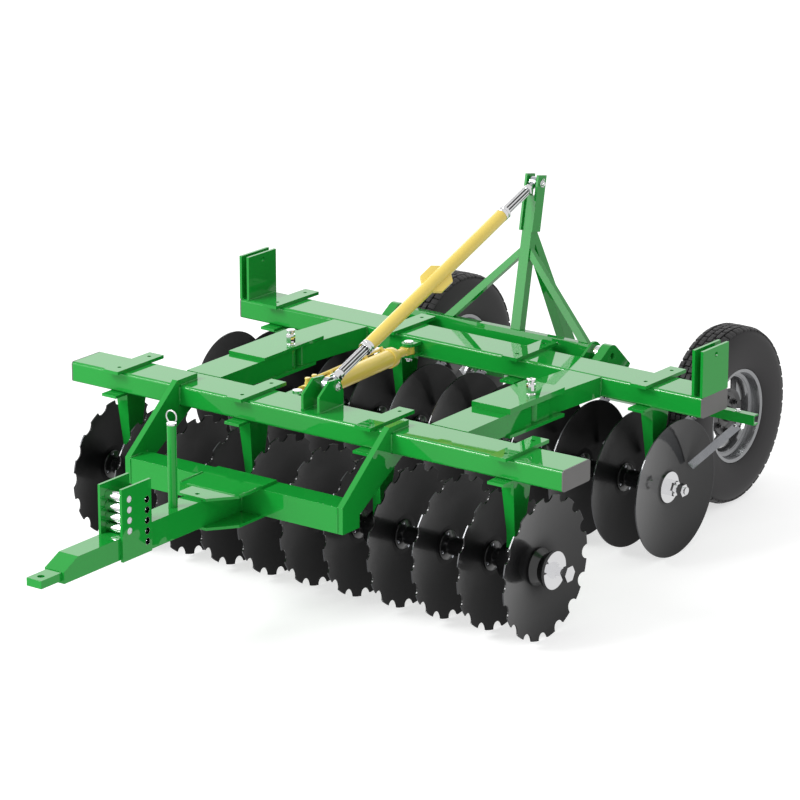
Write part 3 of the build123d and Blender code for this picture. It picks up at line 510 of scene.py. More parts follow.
# Dark grey enamel on the wheel's nave
NAVE_GREY = Finish(
    "dark_grey_wheel_enamel", Slot.RIM_SILVER, "#3A3A3B", "#343435", 60, 2, 0.03, 0.30,
    coat=0.4,
)
# Carbon-black tyre rubber from the mould: grey black and matt
TYRE_RUBBER = Finish(
    "moulded_tyre_rubber", Slot.TYRE, "#2A292A", "#302F30", 70, 2.0, 0.12, 0.60,
    sheen=0.35,
)


@dataclass(frozen=True)
class Step:
    """One length of a round or many-sided part, in millimetres, with its radius to the corners."""

    length: float
    radius: float
    sides: int
    bevel: float = 0.0
    far_radius: float | None = None


# Radius to the corners, sides and bevel of a bar whose length is worked out, in the order of a step
Section = tuple[float, int, float]


class Shape:
    """A bmesh in metres that machine parts are shaped in."""

    def __init__(self) -> None:
        """Starts an empty shape."""
        self.mesh = bmesh.new()

    @staticmethod
    def facing(centre: Vector, axis: Vector, spin: float = 0.0) -> Matrix:
        """Placement with its third axis along a direction.

        Args:
            centre: Where it stands, in metres.
            axis: The direction.
            spin: A turn about that direction, in radians.

        Returns:
            The matrix.
        """
        turn = axis.to_track_quat("Z", "Y").to_matrix().to_4x4()
        return Matrix.Translation(centre) @ turn @ Matrix.Rotation(spin, 4, "Z")

    def soften(self, edges: Sequence[bmesh.types.BMEdge], width: float) -> None:
        """Bevels edges.

        Args:
            edges: The edges.
            width: Width of the bevels in millimetres.
        """
        bmesh.ops.bevel(
            self.mesh, geom=edges, offset=width * MM, segments=2, profile=0.5, affect="EDGES", material=-1
        )

    def rod(self, start: Vector, axis: Vector, step: Step, spin: float = 0.0) -> None:
        """Adds a round or many-sided bar, which tapers if its step has a far radius.

        Args:
            start: Middle of its first end, in metres.
            axis: Its direction.
            step: Its sizes.
            spin: A turn about its axis, in radians.
        """
        unit = axis.normalized()
        far_radius = step.radius if step.far_radius is None else step.far_radius
        made = bmesh.ops.create_cone(
            self.mesh,
            cap_ends=True,
            segments=step.sides,
            radius1=step.radius * MM,
            radius2=far_radius * MM,
            depth=step.length * MM,
            matrix=self.facing(start + unit * step.length * MM / 2, unit, spin),
        )
        if step.bevel:
            edges = {edge for corner in made["verts"] for edge in corner.link_edges}
            caps = [edge for edge in edges if any(len(face.verts) == step.sides for face in edge.link_faces)]
            self.soften(caps, step.bevel)

    def stack(self, start: Vector, axis: Vector, steps: Sequence[Step], spin: float = 0.0) -> None:
        """Adds bars end to end.

        Args:
            start: Middle of the first end, in metres.
            axis: Their direction.
            steps: Their sizes, from the first on.
            spin: A turn of the hexagons among them about the axis, in radians.
        """
        unit = axis.normalized()
        reached = 0.0
        for step in steps:
            self.rod(start + unit * reached * MM, unit, step, spin if step.sides == HEXAGON else 0.0)
            reached += step.length

    def block(self, centre: Vector, size: Sequence[float], turn: Matrix, bevel: float) -> None:
        """Adds a block with bevelled edges.

        Args:
            centre: Its middle, in metres.
            size: Its three sizes in millimetres.
            turn: Its rotation.
            bevel: Width of the bevels in millimetres.
        """
        placing = Matrix.Translation(centre) @ turn @ Matrix.Diagonal((*(side * MM for side in size), 1))
        made = bmesh.ops.create_cube(self.mesh, size=1.0, matrix=placing)
        self.soften(list({edge for corner in made["verts"] for edge in corner.link_edges}), bevel)

    def lathe(
        self,
        centre: Vector,
        axis: Vector,
        outline: Sequence[tuple[float, float]],
        steps: int,
        closed: bool = True,
    ) -> None:
        """Adds an outline spun about an axis.

        Args:
            centre: A place on the axis, in metres.
            axis: The axis.
            outline: Points as (radius, distance along the axis) in millimetres.
            steps: How many steps make the full turn.
            closed: Whether the outline's last point joins the first.
        """
        unit = axis.normalized()
        side = unit.orthogonal().normalized()
        rim = [self.mesh.verts.new(centre + side * r * MM + unit * d * MM) for r, d in outline]
        pairs = list(zip(rim, rim[1:])) + ([(rim[-1], rim[0])] if closed else [])
        edges = [self.mesh.edges.new(pair) for pair in pairs]
        bmesh.ops.spin(
            self.mesh,
            geom=[*rim, *edges],
            cent=centre,
            axis=unit,
            dvec=(0, 0, 0),
            angle=math.tau,
            steps=steps,
            use_merge=True,
        )
        bmesh.ops.remove_doubles(self.mesh, verts=list(self.mesh.verts), dist=MERGE_WITHIN)

    def plate(
        self,
        centre: Vector,
        along: Vector,
        across: Vector,
        size: Sequence[float],
        corner: float,
        bevel: float,
    ) -> None:
        """Adds a flat plate with cut corners.

        Args:
            centre: Its middle, in metres.
            along: The way of its length.
            across: The way of its width.
            size: Its length, width and thickness in millimetres.
            corner: How far its corners are cut, in millimetres.
            bevel: Width of the bevels in millimetres.
        """
        length, width, thickness = (value / 2 for value in size)
        square = along.cross(across).normalized()
        outline = []
        for a, b, first in ((1, 1, 0), (-1, 1, 1), (-1, -1, 0), (1, -1, 1)):
            cuts = [(a * length, b * (width - corner)), (a * (length - corner), b * width)]
            outline += cuts[::-1] if first else cuts
        rim = [
            self.mesh.verts.new(centre + (along * a + across * b - square * thickness) * MM)
            for a, b in outline
        ]
        face = self.mesh.faces.new(rim)
        made = bmesh.ops.extrude_face_region(self.mesh, geom=[face], use_keep_orig=True)["geom"]
        moved = [item for item in made if isinstance(item, bmesh.types.BMVert)]
        bmesh.ops.translate(self.mesh, verts=moved, vec=square * 2 * thickness * MM)
        self.soften(list({edge for vert in [*rim, *moved] for edge in vert.link_edges}), bevel)

    def finish(self, name: str, body: Body, look: Finish) -> bpy.types.Object:
        """Makes the piece from the shape.

        Args:
            name: The piece's name.
            body: The body that it rides on.
            look: Its finish.

        Returns:
            The piece.
        """
        bmesh.ops.recalc_face_normals(self.mesh, faces=list(self.mesh.faces))
        mesh = bpy.data.meshes.new(name)
        self.mesh.to_mesh(mesh)
        self.mesh.free()
        mesh.polygons.foreach_set("use_smooth", [True] * len(mesh.polygons))
        mesh.set_sharp_from_angle(angle=SMOOTH_ANGLE)
        mesh.materials.append(look.build())
        piece = bpy.data.objects.new(name, mesh)
        bpy.context.scene.collection.objects.link(piece)
        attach(piece, body.value)
        LOG.info("%s rides on %s: %d faces", name, body.value, len(mesh.polygons))
        return piece


@dataclass(frozen=True)
class BoltCircle:
    """Bolts in a circle: how many, the circle's radius, the first one's angle, and each one's lengths.

    Sizes are in millimetres and the angle is in radians. The circle may stand out from its centre.
    """

    count: int
    ring: float
    turn: float
    bolt: tuple[Step, ...]
    out: float = 0.0

    def add(self, shape: Shape, centre: Vector, way: Vector, back: Vector) -> None:
        """Adds the bolts to a shape.

        Args:
            shape: The shape that they go into.
            centre: The centre, in metres.
            way: The way the bolts point.
            back: The way from the centre that angles are counted from.
        """
        for i in range(self.count):
            angle = math.tau * i / self.count + self.turn
            foot = centre + (ray(angle, back) * self.ring + way * self.out) * MM
            shape.stack(foot, way, self.bolt, angle)


def stand(name: str, data: bpy.types.ID, at: Sequence[float], aim: Sequence[float]) -> bpy.types.Object:
    """Stands a camera or a lamp in its place.

    Args:
        name: Its name.
        data: The camera or the light.
        at: Where it stands, in metres.
        aim: What it is aimed at, in metres.

    Returns:
        Its object.
    """
    made = bpy.data.objects.new(name, data)
    bpy.context.scene.collection.objects.link(made)
    made.location = at
    made.rotation_euler = (Vector(aim) - Vector(at)).to_track_quat("-Z", "Y").to_euler()
    return made


@dataclass(frozen=True)
class Lamp:
    """A soft rectangular lamp, with its places and sizes in metres and its power in watts."""

    name: str
    at: tuple[float, float, float]
    aim: tuple[float, float, float]
    width: float
    height: float
    watts: float

    def build(self) -> None:
        """Hangs the lamp and aims it."""
        data = bpy.data.lights.new(self.name, "AREA")
        data.shape = "RECTANGLE"
        data.size = self.width
        data.size_y = self.height
        data.energy = self.watts
        stand(self.name, data, self.at, self.aim).visible_camera = False


@dataclass
class Studio:
    """The camera at the photograph's place, the pale floor and the soft lights."""

    camera_at: tuple[float, float, float] = (9.4306, -12.6149, 5.6534)
    looks_at: tuple[float, float, float] = (-0.1941, 0.6646, 0.5)
    lens: float = 173.63
    sensor: float = 36.0
    sees_to: float = 200.0
    floor_size: float = 120.0
    floor_paint: str = "#C4C4C4"
    floor_glow: float = 0.62
    floor_roughness: float = 0.9
    floor_sheen: float = 0.1
    surround: float = 0.74
    lamps: tuple[Lamp, ...] = (
        Lamp("key", (-6.5, -9.0, 9.5), (0.0, 0.0, 0.4), 6.0, 5.0, 1450.0),
        Lamp("front_card", (-9.5, -13.8, 2.3), (0.0, 0.0, 0.9), 14.0, 4.4, 430.0),
        Lamp("back_card", (-14.4, 20.5, 8.6), (0.0, 0.0, 0.7), 34.0, 14.0, 1350.0),
    )

    def build(self) -> None:
        """Sets up the whole studio."""
        bpy.context.scene.view_settings.view_transform = "Standard"
        self.camera()
        self.floor()
        self.sky()
        for lamp in self.lamps:
            lamp.build()

    def camera(self) -> None:
        """Makes the camera and aims it."""
        data = bpy.data.cameras.new("camera")
        data.lens = self.lens
        data.sensor_width = self.sensor
        data.clip_end = self.sees_to
        bpy.context.scene.camera = stand("camera", data, self.camera_at, self.looks_at)

    def floor(self) -> None:
        """Makes the plain pale floor, which glossy surfaces don't mirror."""
        mesh = bpy.data.meshes.new("floor")
        shape = bmesh.new()
        bmesh.ops.create_grid(shape, x_segments=1, y_segments=1, size=self.floor_size / 2)
        shape.to_mesh(mesh)
        shape.free()
        matt = bpy.data.materials.new("matt_white_floor")
        matt.use_nodes = True
        shader = matt.node_tree.nodes["Principled BSDF"]
        shader.inputs["Base Color"].default_value = linear(self.floor_paint)
        shader.inputs["Roughness"].default_value = self.floor_roughness
        shader.inputs["Specular IOR Level"].default_value = self.floor_sheen
        shader.inputs["Emission Color"].default_value = WHITE
        shader.inputs["Emission Strength"].default_value = self.floor_glow
        mesh.materials.append(matt)
        floor = bpy.data.objects.new("floor", mesh)
        bpy.context.scene.collection.objects.link(floor)
        floor.visible_glossy = False

    def sky(self) -> None:
        """Lights everything evenly with a plain white surround."""
        world = bpy.data.worlds.new("surround")
        world.use_nodes = True
        shade = world.node_tree.nodes["Background"]
        shade.inputs["Color"].default_value = WHITE
        shade.inputs["Strength"].default_value = self.surround
        bpy.context.scene.world = world


@dataclass
class Paintwork:
    """The finishes of the CAD nodes: by material slot, and a few by name."""

    finishes: dict[Slot, Finish] = field(
        default_factory=lambda: {
            Slot.GREEN: ENAMEL,
            Slot.GREY_CAP: CAP_PAINT,
            Slot.DISC_STEEL: REAR_DISC,
            Slot.CASTING: CASTING,
            Slot.CHROME: BRIGHT_PLATE,
            Slot.YELLOW: YELLOW_ENAMEL,
            Slot.ROD_STEEL: TURNED_ROD,
            Slot.RIM_SILVER: WHEEL_SILVER,
            Slot.TYRE: TYRE_RUBBER,
        }
    )
    special: dict[str, Finish] = field(
        default_factory=lambda: {
            "front_discs": FRONT_DISC,
            "scraper_blades": BLADE_STEEL,
            "ram_rod": YELLOW_ENAMEL,
        }
    )

    def build(self) -> None:
        """Dresses every CAD node."""
        slots = {part["node"]: Slot(part["material_slot"]) for part in frame["record"]["subparts"]}
        for name, slot in slots.items():
            look = self.special.get(name, self.finishes[slot])
            mesh = frame["nodes"][name].data
            mesh.materials.clear()
            mesh.materials.append(look.build())
            LOG.info("%s is dressed in %s", name, look.name)


@dataclass
class Wheel:
    """A wheel's tyre with its tread, and its pressed rim with hand holes and bolts.

    Outlines are (radius, distance along the axle). A tread row is its place across the tyre, its width, how
    much of a block it is shifted by, and how high it stands. A spoke is its length, width and thickness, and
    runs from the nave's first point to the skirt's first point.
    """

    side: str
    body: Body
    middle_x: float
    outwards: int
    axis_y: float = 2030.0
    axis_z: float = 405.0
    carcass: tuple[tuple[float, float], ...] = (
        (204.0, 64.0), (217.0, 64.0), (217.0, 71.0), (226.0, 78.0), (243.0, 84.0), (266.0, 89.0),
        (293.0, 91.5), (320.0, 92.0), (342.0, 90.5), (361.0, 86.0), (376.0, 79.0), (386.0, 70.0),
        (391.0, 52.0), (392.0, 24.0),
    )
    tread_rows: tuple[tuple[float, float, float, float], ...] = (
        (0.0, 22.0, 0.0, 404.6), (27.0, 22.0, 0.5, 403.8), (-27.0, 22.0, 0.5, 403.8),
        (56.5, 29.0, 0.0, 399.5), (-56.5, 29.0, 0.0, 399.5),
    )
    block_count: int = 40
    block_share: float = 0.84
    block_depth: float = 20.0
    block_bevel: float = 1.6
    shoulder_from: float = 50.0
    shoulder_lean: float = math.radians(24)
    sipe: float = 1.6
    barrel: tuple[tuple[float, float], ...] = (
        (209.0, 70.0), (214.0, 70.0), (216.0, 68.0), (216.0, 65.0), (203.0, 65.0), (203.0, 46.0),
        (196.0, 30.0), (178.0, 24.0), (178.0, -24.0), (196.0, -30.0), (203.0, -46.0), (203.0, -65.0),
        (216.0, -65.0), (216.0, -68.0), (214.0, -70.0), (199.0, -70.0), (199.0, -46.0), (192.0, -34.0),
        (173.0, -28.0), (173.0, 21.0), (192.0, 27.0), (199.0, 46.0), (199.0, 66.0),
    )
    nave: tuple[tuple[float, float], ...] = (
        (110.0, 14.0), (116.0, 16.0), (116.0, 9.0), (112.0, 7.0), (100.0, -1.0), (29.0, -1.0), (29.0, 6.0),
        (98.0, 6.0),
    )
    skirt: tuple[tuple[float, float], ...] = ((160.0, -2.0), (173.2, -9.0), (173.2, -17.0), (160.0, -10.0))
    hand_holes: int = 6
    spoke: tuple[float, float, float] = (56.0, 50.0, 7.0)
    spoke_bevel: float = 2.0
    studs: BoltCircle = BoltCircle(
        6,
        78.0,
        math.pi / 6,
        (Step(3.0, 15.0, 20, 0.8), Step(12.0, 12.0, 6, 1.2), Step(8.0, 7.5, 14, 1.0)),
        out=6.0,
    )
    cap_out: float = 12.0
    cap: tuple[tuple[float, float], ...] = (
        (0.0, 27.0), (21.0, 26.0), (30.0, 21.0), (35.0, 12.0), (36.0, 0.0), (46.0, 0.0), (62.0, -4.0),
        (62.0, -50.0), (29.0, -50.0), (29.0, -8.0), (0.0, -8.0),
    )

    @property
    def centre(self) -> Vector:
        """The wheel's middle, in metres."""
        return front_at(self.middle_x, self.axis_y, self.axis_z)

    @property
    def way(self) -> Vector:
        """The way out of the harrow along the axle."""
        return ALONG_X * self.outwards

    def build(self) -> None:
        """Makes the tyre, the rim and what the rim holds."""
        self.tyre()
        self.rim()
        self.disc()
        self.bolts()

    def tyre(self) -> None:
        """Makes the carcass with its tread blocks, in the place of the plain CAD tyre."""
        shape = Shape()
        outline = [*self.carcass, *((r, -d) for r, d in reversed(self.carcass))]
        shape.lathe(self.centre, ALONG_X, outline, steps=96)
        self.tread(shape)
        piece = shape.finish(f"{self.side}_tyre_with_tread", self.body, TYRE_RUBBER)
        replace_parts(piece, f"{self.side}_tyre")

    def tread(self, shape: Shape) -> None:
        """Adds rows of blocks round the tyre, each block in two halves with a narrow sipe between.

        Args:
            shape: The tyre's shape.
        """
        step = math.tau / self.block_count
        for across, width, shift, top in self.tread_rows:
            side = (across > self.shoulder_from) - (across < -self.shoulder_from)
            length = (top * step * self.block_share - self.sipe) / 2
            size = (width, self.block_depth, length)
            for i in range(2 * self.block_count):
                half = (length + self.sipe) / 2 / top * (1 if i % 2 else -1)
                angle = (i // 2 + shift) * step + half
                turn = Matrix.Rotation(angle, 4, "X") @ Matrix.Rotation(-self.shoulder_lean * side, 4, "Z")
                reach = ray(angle) * (top - self.block_depth / 2) + ALONG_X * across
                shape.block(self.centre + reach * MM, size, turn, self.block_bevel)

    def rim(self) -> None:
        """Makes the rolled barrel, in the place of the plain CAD rim."""
        shape = Shape()
        shape.lathe(self.centre, self.way, self.barrel, steps=72)
        piece = shape.finish(f"{self.side}_rim_barrel", self.body, WHEEL_SILVER)
        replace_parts(piece, f"{self.side}_rim")

    def disc(self) -> None:
        """Adds the dished nave, whose spokes leave the hand holes between them."""
        shape = Shape()
        shape.lathe(self.centre, self.way, self.nave, steps=60)
        shape.lathe(self.centre, self.way, self.skirt, steps=72)
        length, width, thickness = self.spoke
        (inner_r, inner_out), (outer_r, outer_out) = self.nave[0], self.skirt[0]
        lean = math.atan2(inner_out - outer_out, outer_r - inner_r)
        for i in range(self.hand_holes):
            angle = math.tau * i / self.hand_holes
            turn = Matrix.Rotation(angle, 4, "X") @ Matrix.Rotation(lean * self.outwards, 4, "Z")
            reach = ray(angle) * (inner_r + outer_r) + self.way * (inner_out + outer_out - thickness)
            shape.block(self.centre + reach / 2 * MM, (thickness, length, width), turn, self.spoke_bevel)
        shape.finish(f"{self.side}_nave_with_hand_holes", self.body, NAVE_GREY)

    def bolts(self) -> None:
        """Adds the hub with its cap, and the wheel bolts with their nuts."""
        hub = Shape()
        hub.lathe(self.centre + self.way * self.cap_out * MM, self.way, self.cap, steps=40, closed=False)
        hub.finish(f"{self.side}_hub_cap", self.body, CASTING)
        shape = Shape()
        self.studs.add(shape, self.centre, self.way, BACK)
        shape.finish(f"{self.side}_wheel_bolts", self.body, CASTING)


@dataclass
class Cylinder:
    """What is fitted to the angle cylinder: turned rings, unions on its ports, the pipe and the split pins.

    Places along it are measured from its front pin. A ring is its place and its sizes. The pipe is where it
    starts, and its sizes. A boss and a union are how far out they start, and their sizes.
    """

    front_pin: tuple[float, float, float] = (-250.0, 265.0, 727.0)
    rear_pin: tuple[float, float, float] = (-292.0, 1135.0, 727.0)
    rings: tuple[tuple[float, Step], ...] = (
        (52.0, Step(22.0, 44.0, 48, 1.5)),
        (150.0, Step(12.0, 43.0, 48, 1.5)),
        (700.0, Step(36.0, 45.0, 48, 1.5)),
    )
    pipe_side: float = math.radians(128)
    pipe: tuple[float, Step] = (140.0, Step(566.0, 7.0, 16, 1.0))
    pipe_out: float = 52.0
    bosses: tuple[float, ...] = (144.0, 696.0)
    boss: tuple[float, Step] = (34.0, Step(26.0, 11.0, 20, 1.0))
    clips: tuple[float, ...] = (290.0, 560.0)
    clip_out: float = 44.0
    clip_size: tuple[float, float, float] = (20.0, 20.0, 18.0)
    clip_bevel: float = 1.5
    ports: tuple[float, ...] = (78.0, 130.0)
    unions: tuple[tuple[float, Step], ...] = (
        (40.0, Step(14.0, 13.0, 6, 1.2)),
        (67.0, Step(5.0, 12.5, 24, 1.0)),
    )
    pin_drop: float = 33.0
    pin_end: tuple[Step, ...] = (Step(4.0, 21.0, 28, 0.8), Step(16.0, 12.0, 24, 1.5))
    cotter_drop: float = 12.0
    cotter: Step = Step(38.0, 2.5, 10, 0.6)

    def __post_init__(self) -> None:
        """Works out the cylinder's line and the way the pipe stands off it."""
        self.start = front_at(*self.front_pin)
        self.along = (front_at(*self.rear_pin) - self.start).normalized()
        self.off = ray(self.pipe_side, self.along.cross(UP).normalized())

    def at(self, distance: float) -> Vector:
        """Place on the cylinder's axis at a distance in millimetres from its front pin."""
        return self.start + self.along * distance * MM

    def build(self) -> None:
        """Makes everything that is fitted to the cylinder."""
        self.caps()
        self.piping()
        self.cotters()

    def caps(self) -> None:
        """Adds the turned rings at both ends of the barrel and the shell of the rear gland."""
        shape = Shape()
        for place, step in self.rings:
            shape.rod(self.at(place), self.along, step)
        shape.finish("cylinder_rings", Body.RAM_BODY, YELLOW_ENAMEL)

    def piping(self) -> None:
        """Adds the pipe with its bosses and clips, and the unions on the ports."""
        shape = Shape()
        start, pipe = self.pipe
        shape.rod(self.at(start) + self.off * self.pipe_out * MM, self.along, pipe)
        boss_out, boss = self.boss
        for place in self.bosses:
            shape.rod(self.at(place) + self.off * boss_out * MM, self.off, boss)
        turn = self.off.to_track_quat("Z", "Y").to_matrix().to_4x4()
        for place in self.clips:
            middle = self.at(place) + self.off * self.clip_out * MM
            shape.block(middle, self.clip_size, turn, self.clip_bevel)
        shape.finish("cylinder_pipe", Body.RAM_BODY, YELLOW_ENAMEL)
        unions = Shape()
        for place in self.ports:
            for up, step in self.unions:
                unions.rod(self.at(place) + UP * up * MM, UP, step)
        unions.finish("cylinder_unions", Body.RAM_BODY, YELLOW_ENAMEL)

    def cotters(self) -> None:
        """Adds the washer, the pin's end and the split pin below each of the two lugs."""
        for name, (x, y, z), body in (
            ("front_ram_cotter", self.front_pin, Body.FRONT_FRAME),
            ("rear_ram_cotter", self.rear_pin, Body.REAR_FRAME),
        ):
            shape = Shape()
            shape.stack(front_at(x, y, z - self.pin_drop), -UP, self.pin_end)
            left = front_at(x - self.cotter.length / 2, y, z - self.pin_drop - self.cotter_drop)
            shape.rod(left, ALONG_X, self.cotter)
            shape.finish(name, body, BRIGHT_PLATE)


@dataclass
class Turnbuckle:
    """The fluted screws, nuts, tube and pins between the front beam and the mast.

    Places along it are measured from its front eye. The tube is how far it stays from the front eye and from
    the mast's pin, the tail how far each screw runs on into it, the flag its length, width and thickness.
    """

    front_eye: tuple[float, float, float] = (-2.0, 155.0, 860.0)
    rock: tuple[float, float, float] = (30.0, 1515.0, 750.0)
    lean: float = math.radians(11)
    pin_up: float = 697.0
    tube: tuple[float, float] = (300.0, 275.0)
    tube_r: float = 30.0
    tube_bevel: float = 1.5
    bore_r: float = 22.2
    tail: tuple[float, float] = (60.0, 30.0)
    flag: tuple[float, float, float] = (142.0, 120.0, 14.0)
    flag_corner: float = 30.0
    flag_bevel: float = 1.5
    flag_lean: float = math.radians(31)
    flute_count: int = 9
    flute_ring: float = 18.4
    flute: Section = (3.2, 12, 1.0)
    flute_inset: float = 2.0
    shade_core: Section = (18.0, 28, 1.0)
    collar: tuple[float, float] = (32.0, 31.0)
    collar_groove: float = 3.0
    collar_shares: tuple[float, float] = (0.4, 0.2)
    front_nut_at: float = 46.0
    front_nut: tuple[Step, ...] = (Step(24.0, 26.0, 6, 2.0), Step(20.0, 22.0, 32, 1.5))
    front_screw_from: float = 92.0
    back_nut_from_end: float = 72.0
    back_nut: Step = Step(22.0, 25.0, 6, 2.0)
    back_screw_from_end: float = 74.0
    ear_reach: float = 48.0
    cheek_reach: float = 36.0
    pin_tip: tuple[Step, ...] = (Step(4.0, 16.0, 28, 0.8), Step(11.0, 9.0, 24, 1.5))
    cotter_out: float = 9.0
    cotter_drop: float = 17.0
    cotter: Step = Step(31.0, 2.0, 10, 0.5)
    cotter_eye_up: float = 18.0
    cotter_eye_r: float = 5.0
    cotter_wire_r: float = 1.8
    cotter_wire_sides: int = 8

    def __post_init__(self) -> None:
        """Works out the turnbuckle's line."""
        self.start = front_at(*self.front_eye)
        pin = self.mast_at(0.0, self.pin_up)
        self.along = (pin - self.start).normalized()
        self.length = (pin - self.start).length / MM

    def mast_at(self, x: float, up: float) -> Vector:
        """Place on the middle plane of the leaning mast.

        Args:
            x: Millimetres to the right of the mast's middle.
            up: Millimetres up the mast from its foot.

        Returns:
            The place in the model's frame, in metres.
        """
        rise = Vector((0, math.sin(self.lean), math.cos(self.lean)))
        return front_at(*self.rock) + (ALONG_X * x + rise * up) * MM

    def at(self, distance: float) -> Vector:
        """Place on the turnbuckle's axis at a distance in millimetres from its front eye."""
        return self.start + self.along * distance * MM

    def build(self) -> None:
        """Makes both ends, what lies between them, and the ends of the pins."""
        self.front_end()
        self.middle()
        self.back_end()
        self.pins()

    def screw(self, name: str, body: Body, start: float, end: float) -> None:
        """Adds a fluted screw: bright ridges along a near-black core, which is painted shade in the grooves
        between them.

        Args:
            name: The piece's name.
            body: The body that it rides on.
            start: Where it starts, in millimetres from the front eye.
            end: Where it ends.
        """
        # Painted shade: the core under the ridges is near-black casting paint, standing in for the shade in
        # the grooves between the bright ridges
        groove_shade = Shape()
        groove_shade.rod(self.at(start), self.along, Step(end - start, *self.shade_core))
        groove_shade.finish(f"{name}_core", body, CASTING)
        bright = Shape()
        side = self.along.orthogonal().normalized()
        ridge = Step(end - start - 2 * self.flute_inset, *self.flute)
        for i in range(self.flute_count):
            out = Matrix.Rotation(math.tau * i / self.flute_count, 3, self.along) @ side
            bright.rod(self.at(start + self.flute_inset) + out * self.flute_ring * MM, self.along, ridge)
        bright.finish(f"{name}_ridges", body, BRIGHT_PLATE)

    def front_end(self) -> None:
        """Adds the fluted screw, which runs on into the tube, and the nut on the front rod."""
        self.screw("front_screw", Body.LINK_FRONT, self.front_screw_from, self.tube[0] + self.tail[0])
        shape = Shape()
        shape.stack(self.at(self.front_nut_at), self.along, self.front_nut)
        shape.finish("front_rod_nut", Body.LINK_FRONT, BRIGHT_PLATE)

    def back_end(self) -> None:
        """Adds the fluted screw, which runs on into the tube, and the nut on the back rod."""
        start = self.length - self.tube[1] - self.tail[1]
        self.screw("back_screw", Body.LINK_BACK, start, self.length - self.back_screw_from_end)
        shape = Shape()
        shape.rod(self.at(self.length - self.back_nut_from_end), self.along, self.back_nut)
        shape.finish("back_rod_nut", Body.LINK_BACK, BRIGHT_PLATE)

    def sleeve(self, shape: Shape, start: float, length: float, radius: float) -> None:
        """Adds a length of tube about the turnbuckle's axis.

        Args:
            shape: The shape that it goes into.
            start: Where it starts, in millimetres from the front eye.
            length: Its length in millimetres.
            radius: Its outer radius in millimetres.
        """
        bore, cut = self.bore_r, self.tube_bevel
        outline = [
            (bore, 0.0),
            (radius - cut, 0.0),
            (radius, cut),
            (radius, length - cut),
            (radius - cut, length),
            (bore, length),
        ]
        shape.lathe(self.at(start), self.along, outline, steps=56)

    def middle(self) -> None:
        """Makes the tube with its flag and the ring at each end, in the place of the plain CAD ones."""
        start, end = self.tube[0], self.length - self.tube[1]
        shape = Shape()
        self.sleeve(shape, start, end - start, self.tube_r)
        side = self.along.cross(UP).normalized()
        rise = side.cross(self.along).normalized()
        across = side * math.cos(self.flag_lean) - rise * math.sin(self.flag_lean)
        middle = self.at((start + end) / 2)
        shape.plate(middle, self.along, across, self.flag, self.flag_corner, self.flag_bevel)
        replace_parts(shape.finish("tube_with_flag", Body.LINK_MIDDLE, YELLOW_ENAMEL), "link_tube")
        rings = Shape()
        length, radius = self.collar
        land, groove = (length * share for share in self.collar_shares)
        for first in (start - length, end):
            self.sleeve(rings, first, land, radius)
            self.sleeve(rings, first + land, groove, radius - self.collar_groove)
            self.sleeve(rings, first + land + groove, land, radius)
        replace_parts(rings.finish("grooved_collars", Body.LINK_MIDDLE, BRIGHT_PLATE), "link_collars")

    def pins(self) -> None:
        """Adds washers and split pins at the ears and at the mast's cheeks."""
        ears = Shape()
        cheeks = Shape()
        for way in (ALONG_X, -ALONG_X):
            self.pin_end(ears, self.start + way * self.ear_reach * MM, way)
            self.pin_end(cheeks, self.mast_at(0.0, self.pin_up) + way * self.cheek_reach * MM, way)
        ears.finish("ear_pin_ends", Body.FRONT_FRAME, BRIGHT_PLATE)
        cheeks.finish("mast_pin_ends", Body.WHEEL_FRAME, BRIGHT_PLATE)

    def pin_end(self, shape: Shape, place: Vector, way: Vector) -> None:
        """Adds a washer, a pin's end and its split pin.

        Args:
            shape: The shape that they go into.
            place: Middle of the washer's inner face, in metres.
            way: The way the pin points.
        """
        shape.stack(place, way, self.pin_tip)
        through = place + way * self.cotter_out * MM
        shape.rod(through - UP * self.cotter_drop * MM, UP, self.cotter)
        turns = [math.tau * i / self.cotter_wire_sides for i in range(self.cotter_wire_sides)]
        wire = [(math.cos(turn) * self.cotter_wire_r, math.sin(turn) * self.cotter_wire_r) for turn in turns]
        eye = [(self.cotter_eye_r + out, along) for out, along in wire]
        shape.lathe(through + UP * self.cotter_eye_up * MM, BACK, eye, steps=20)


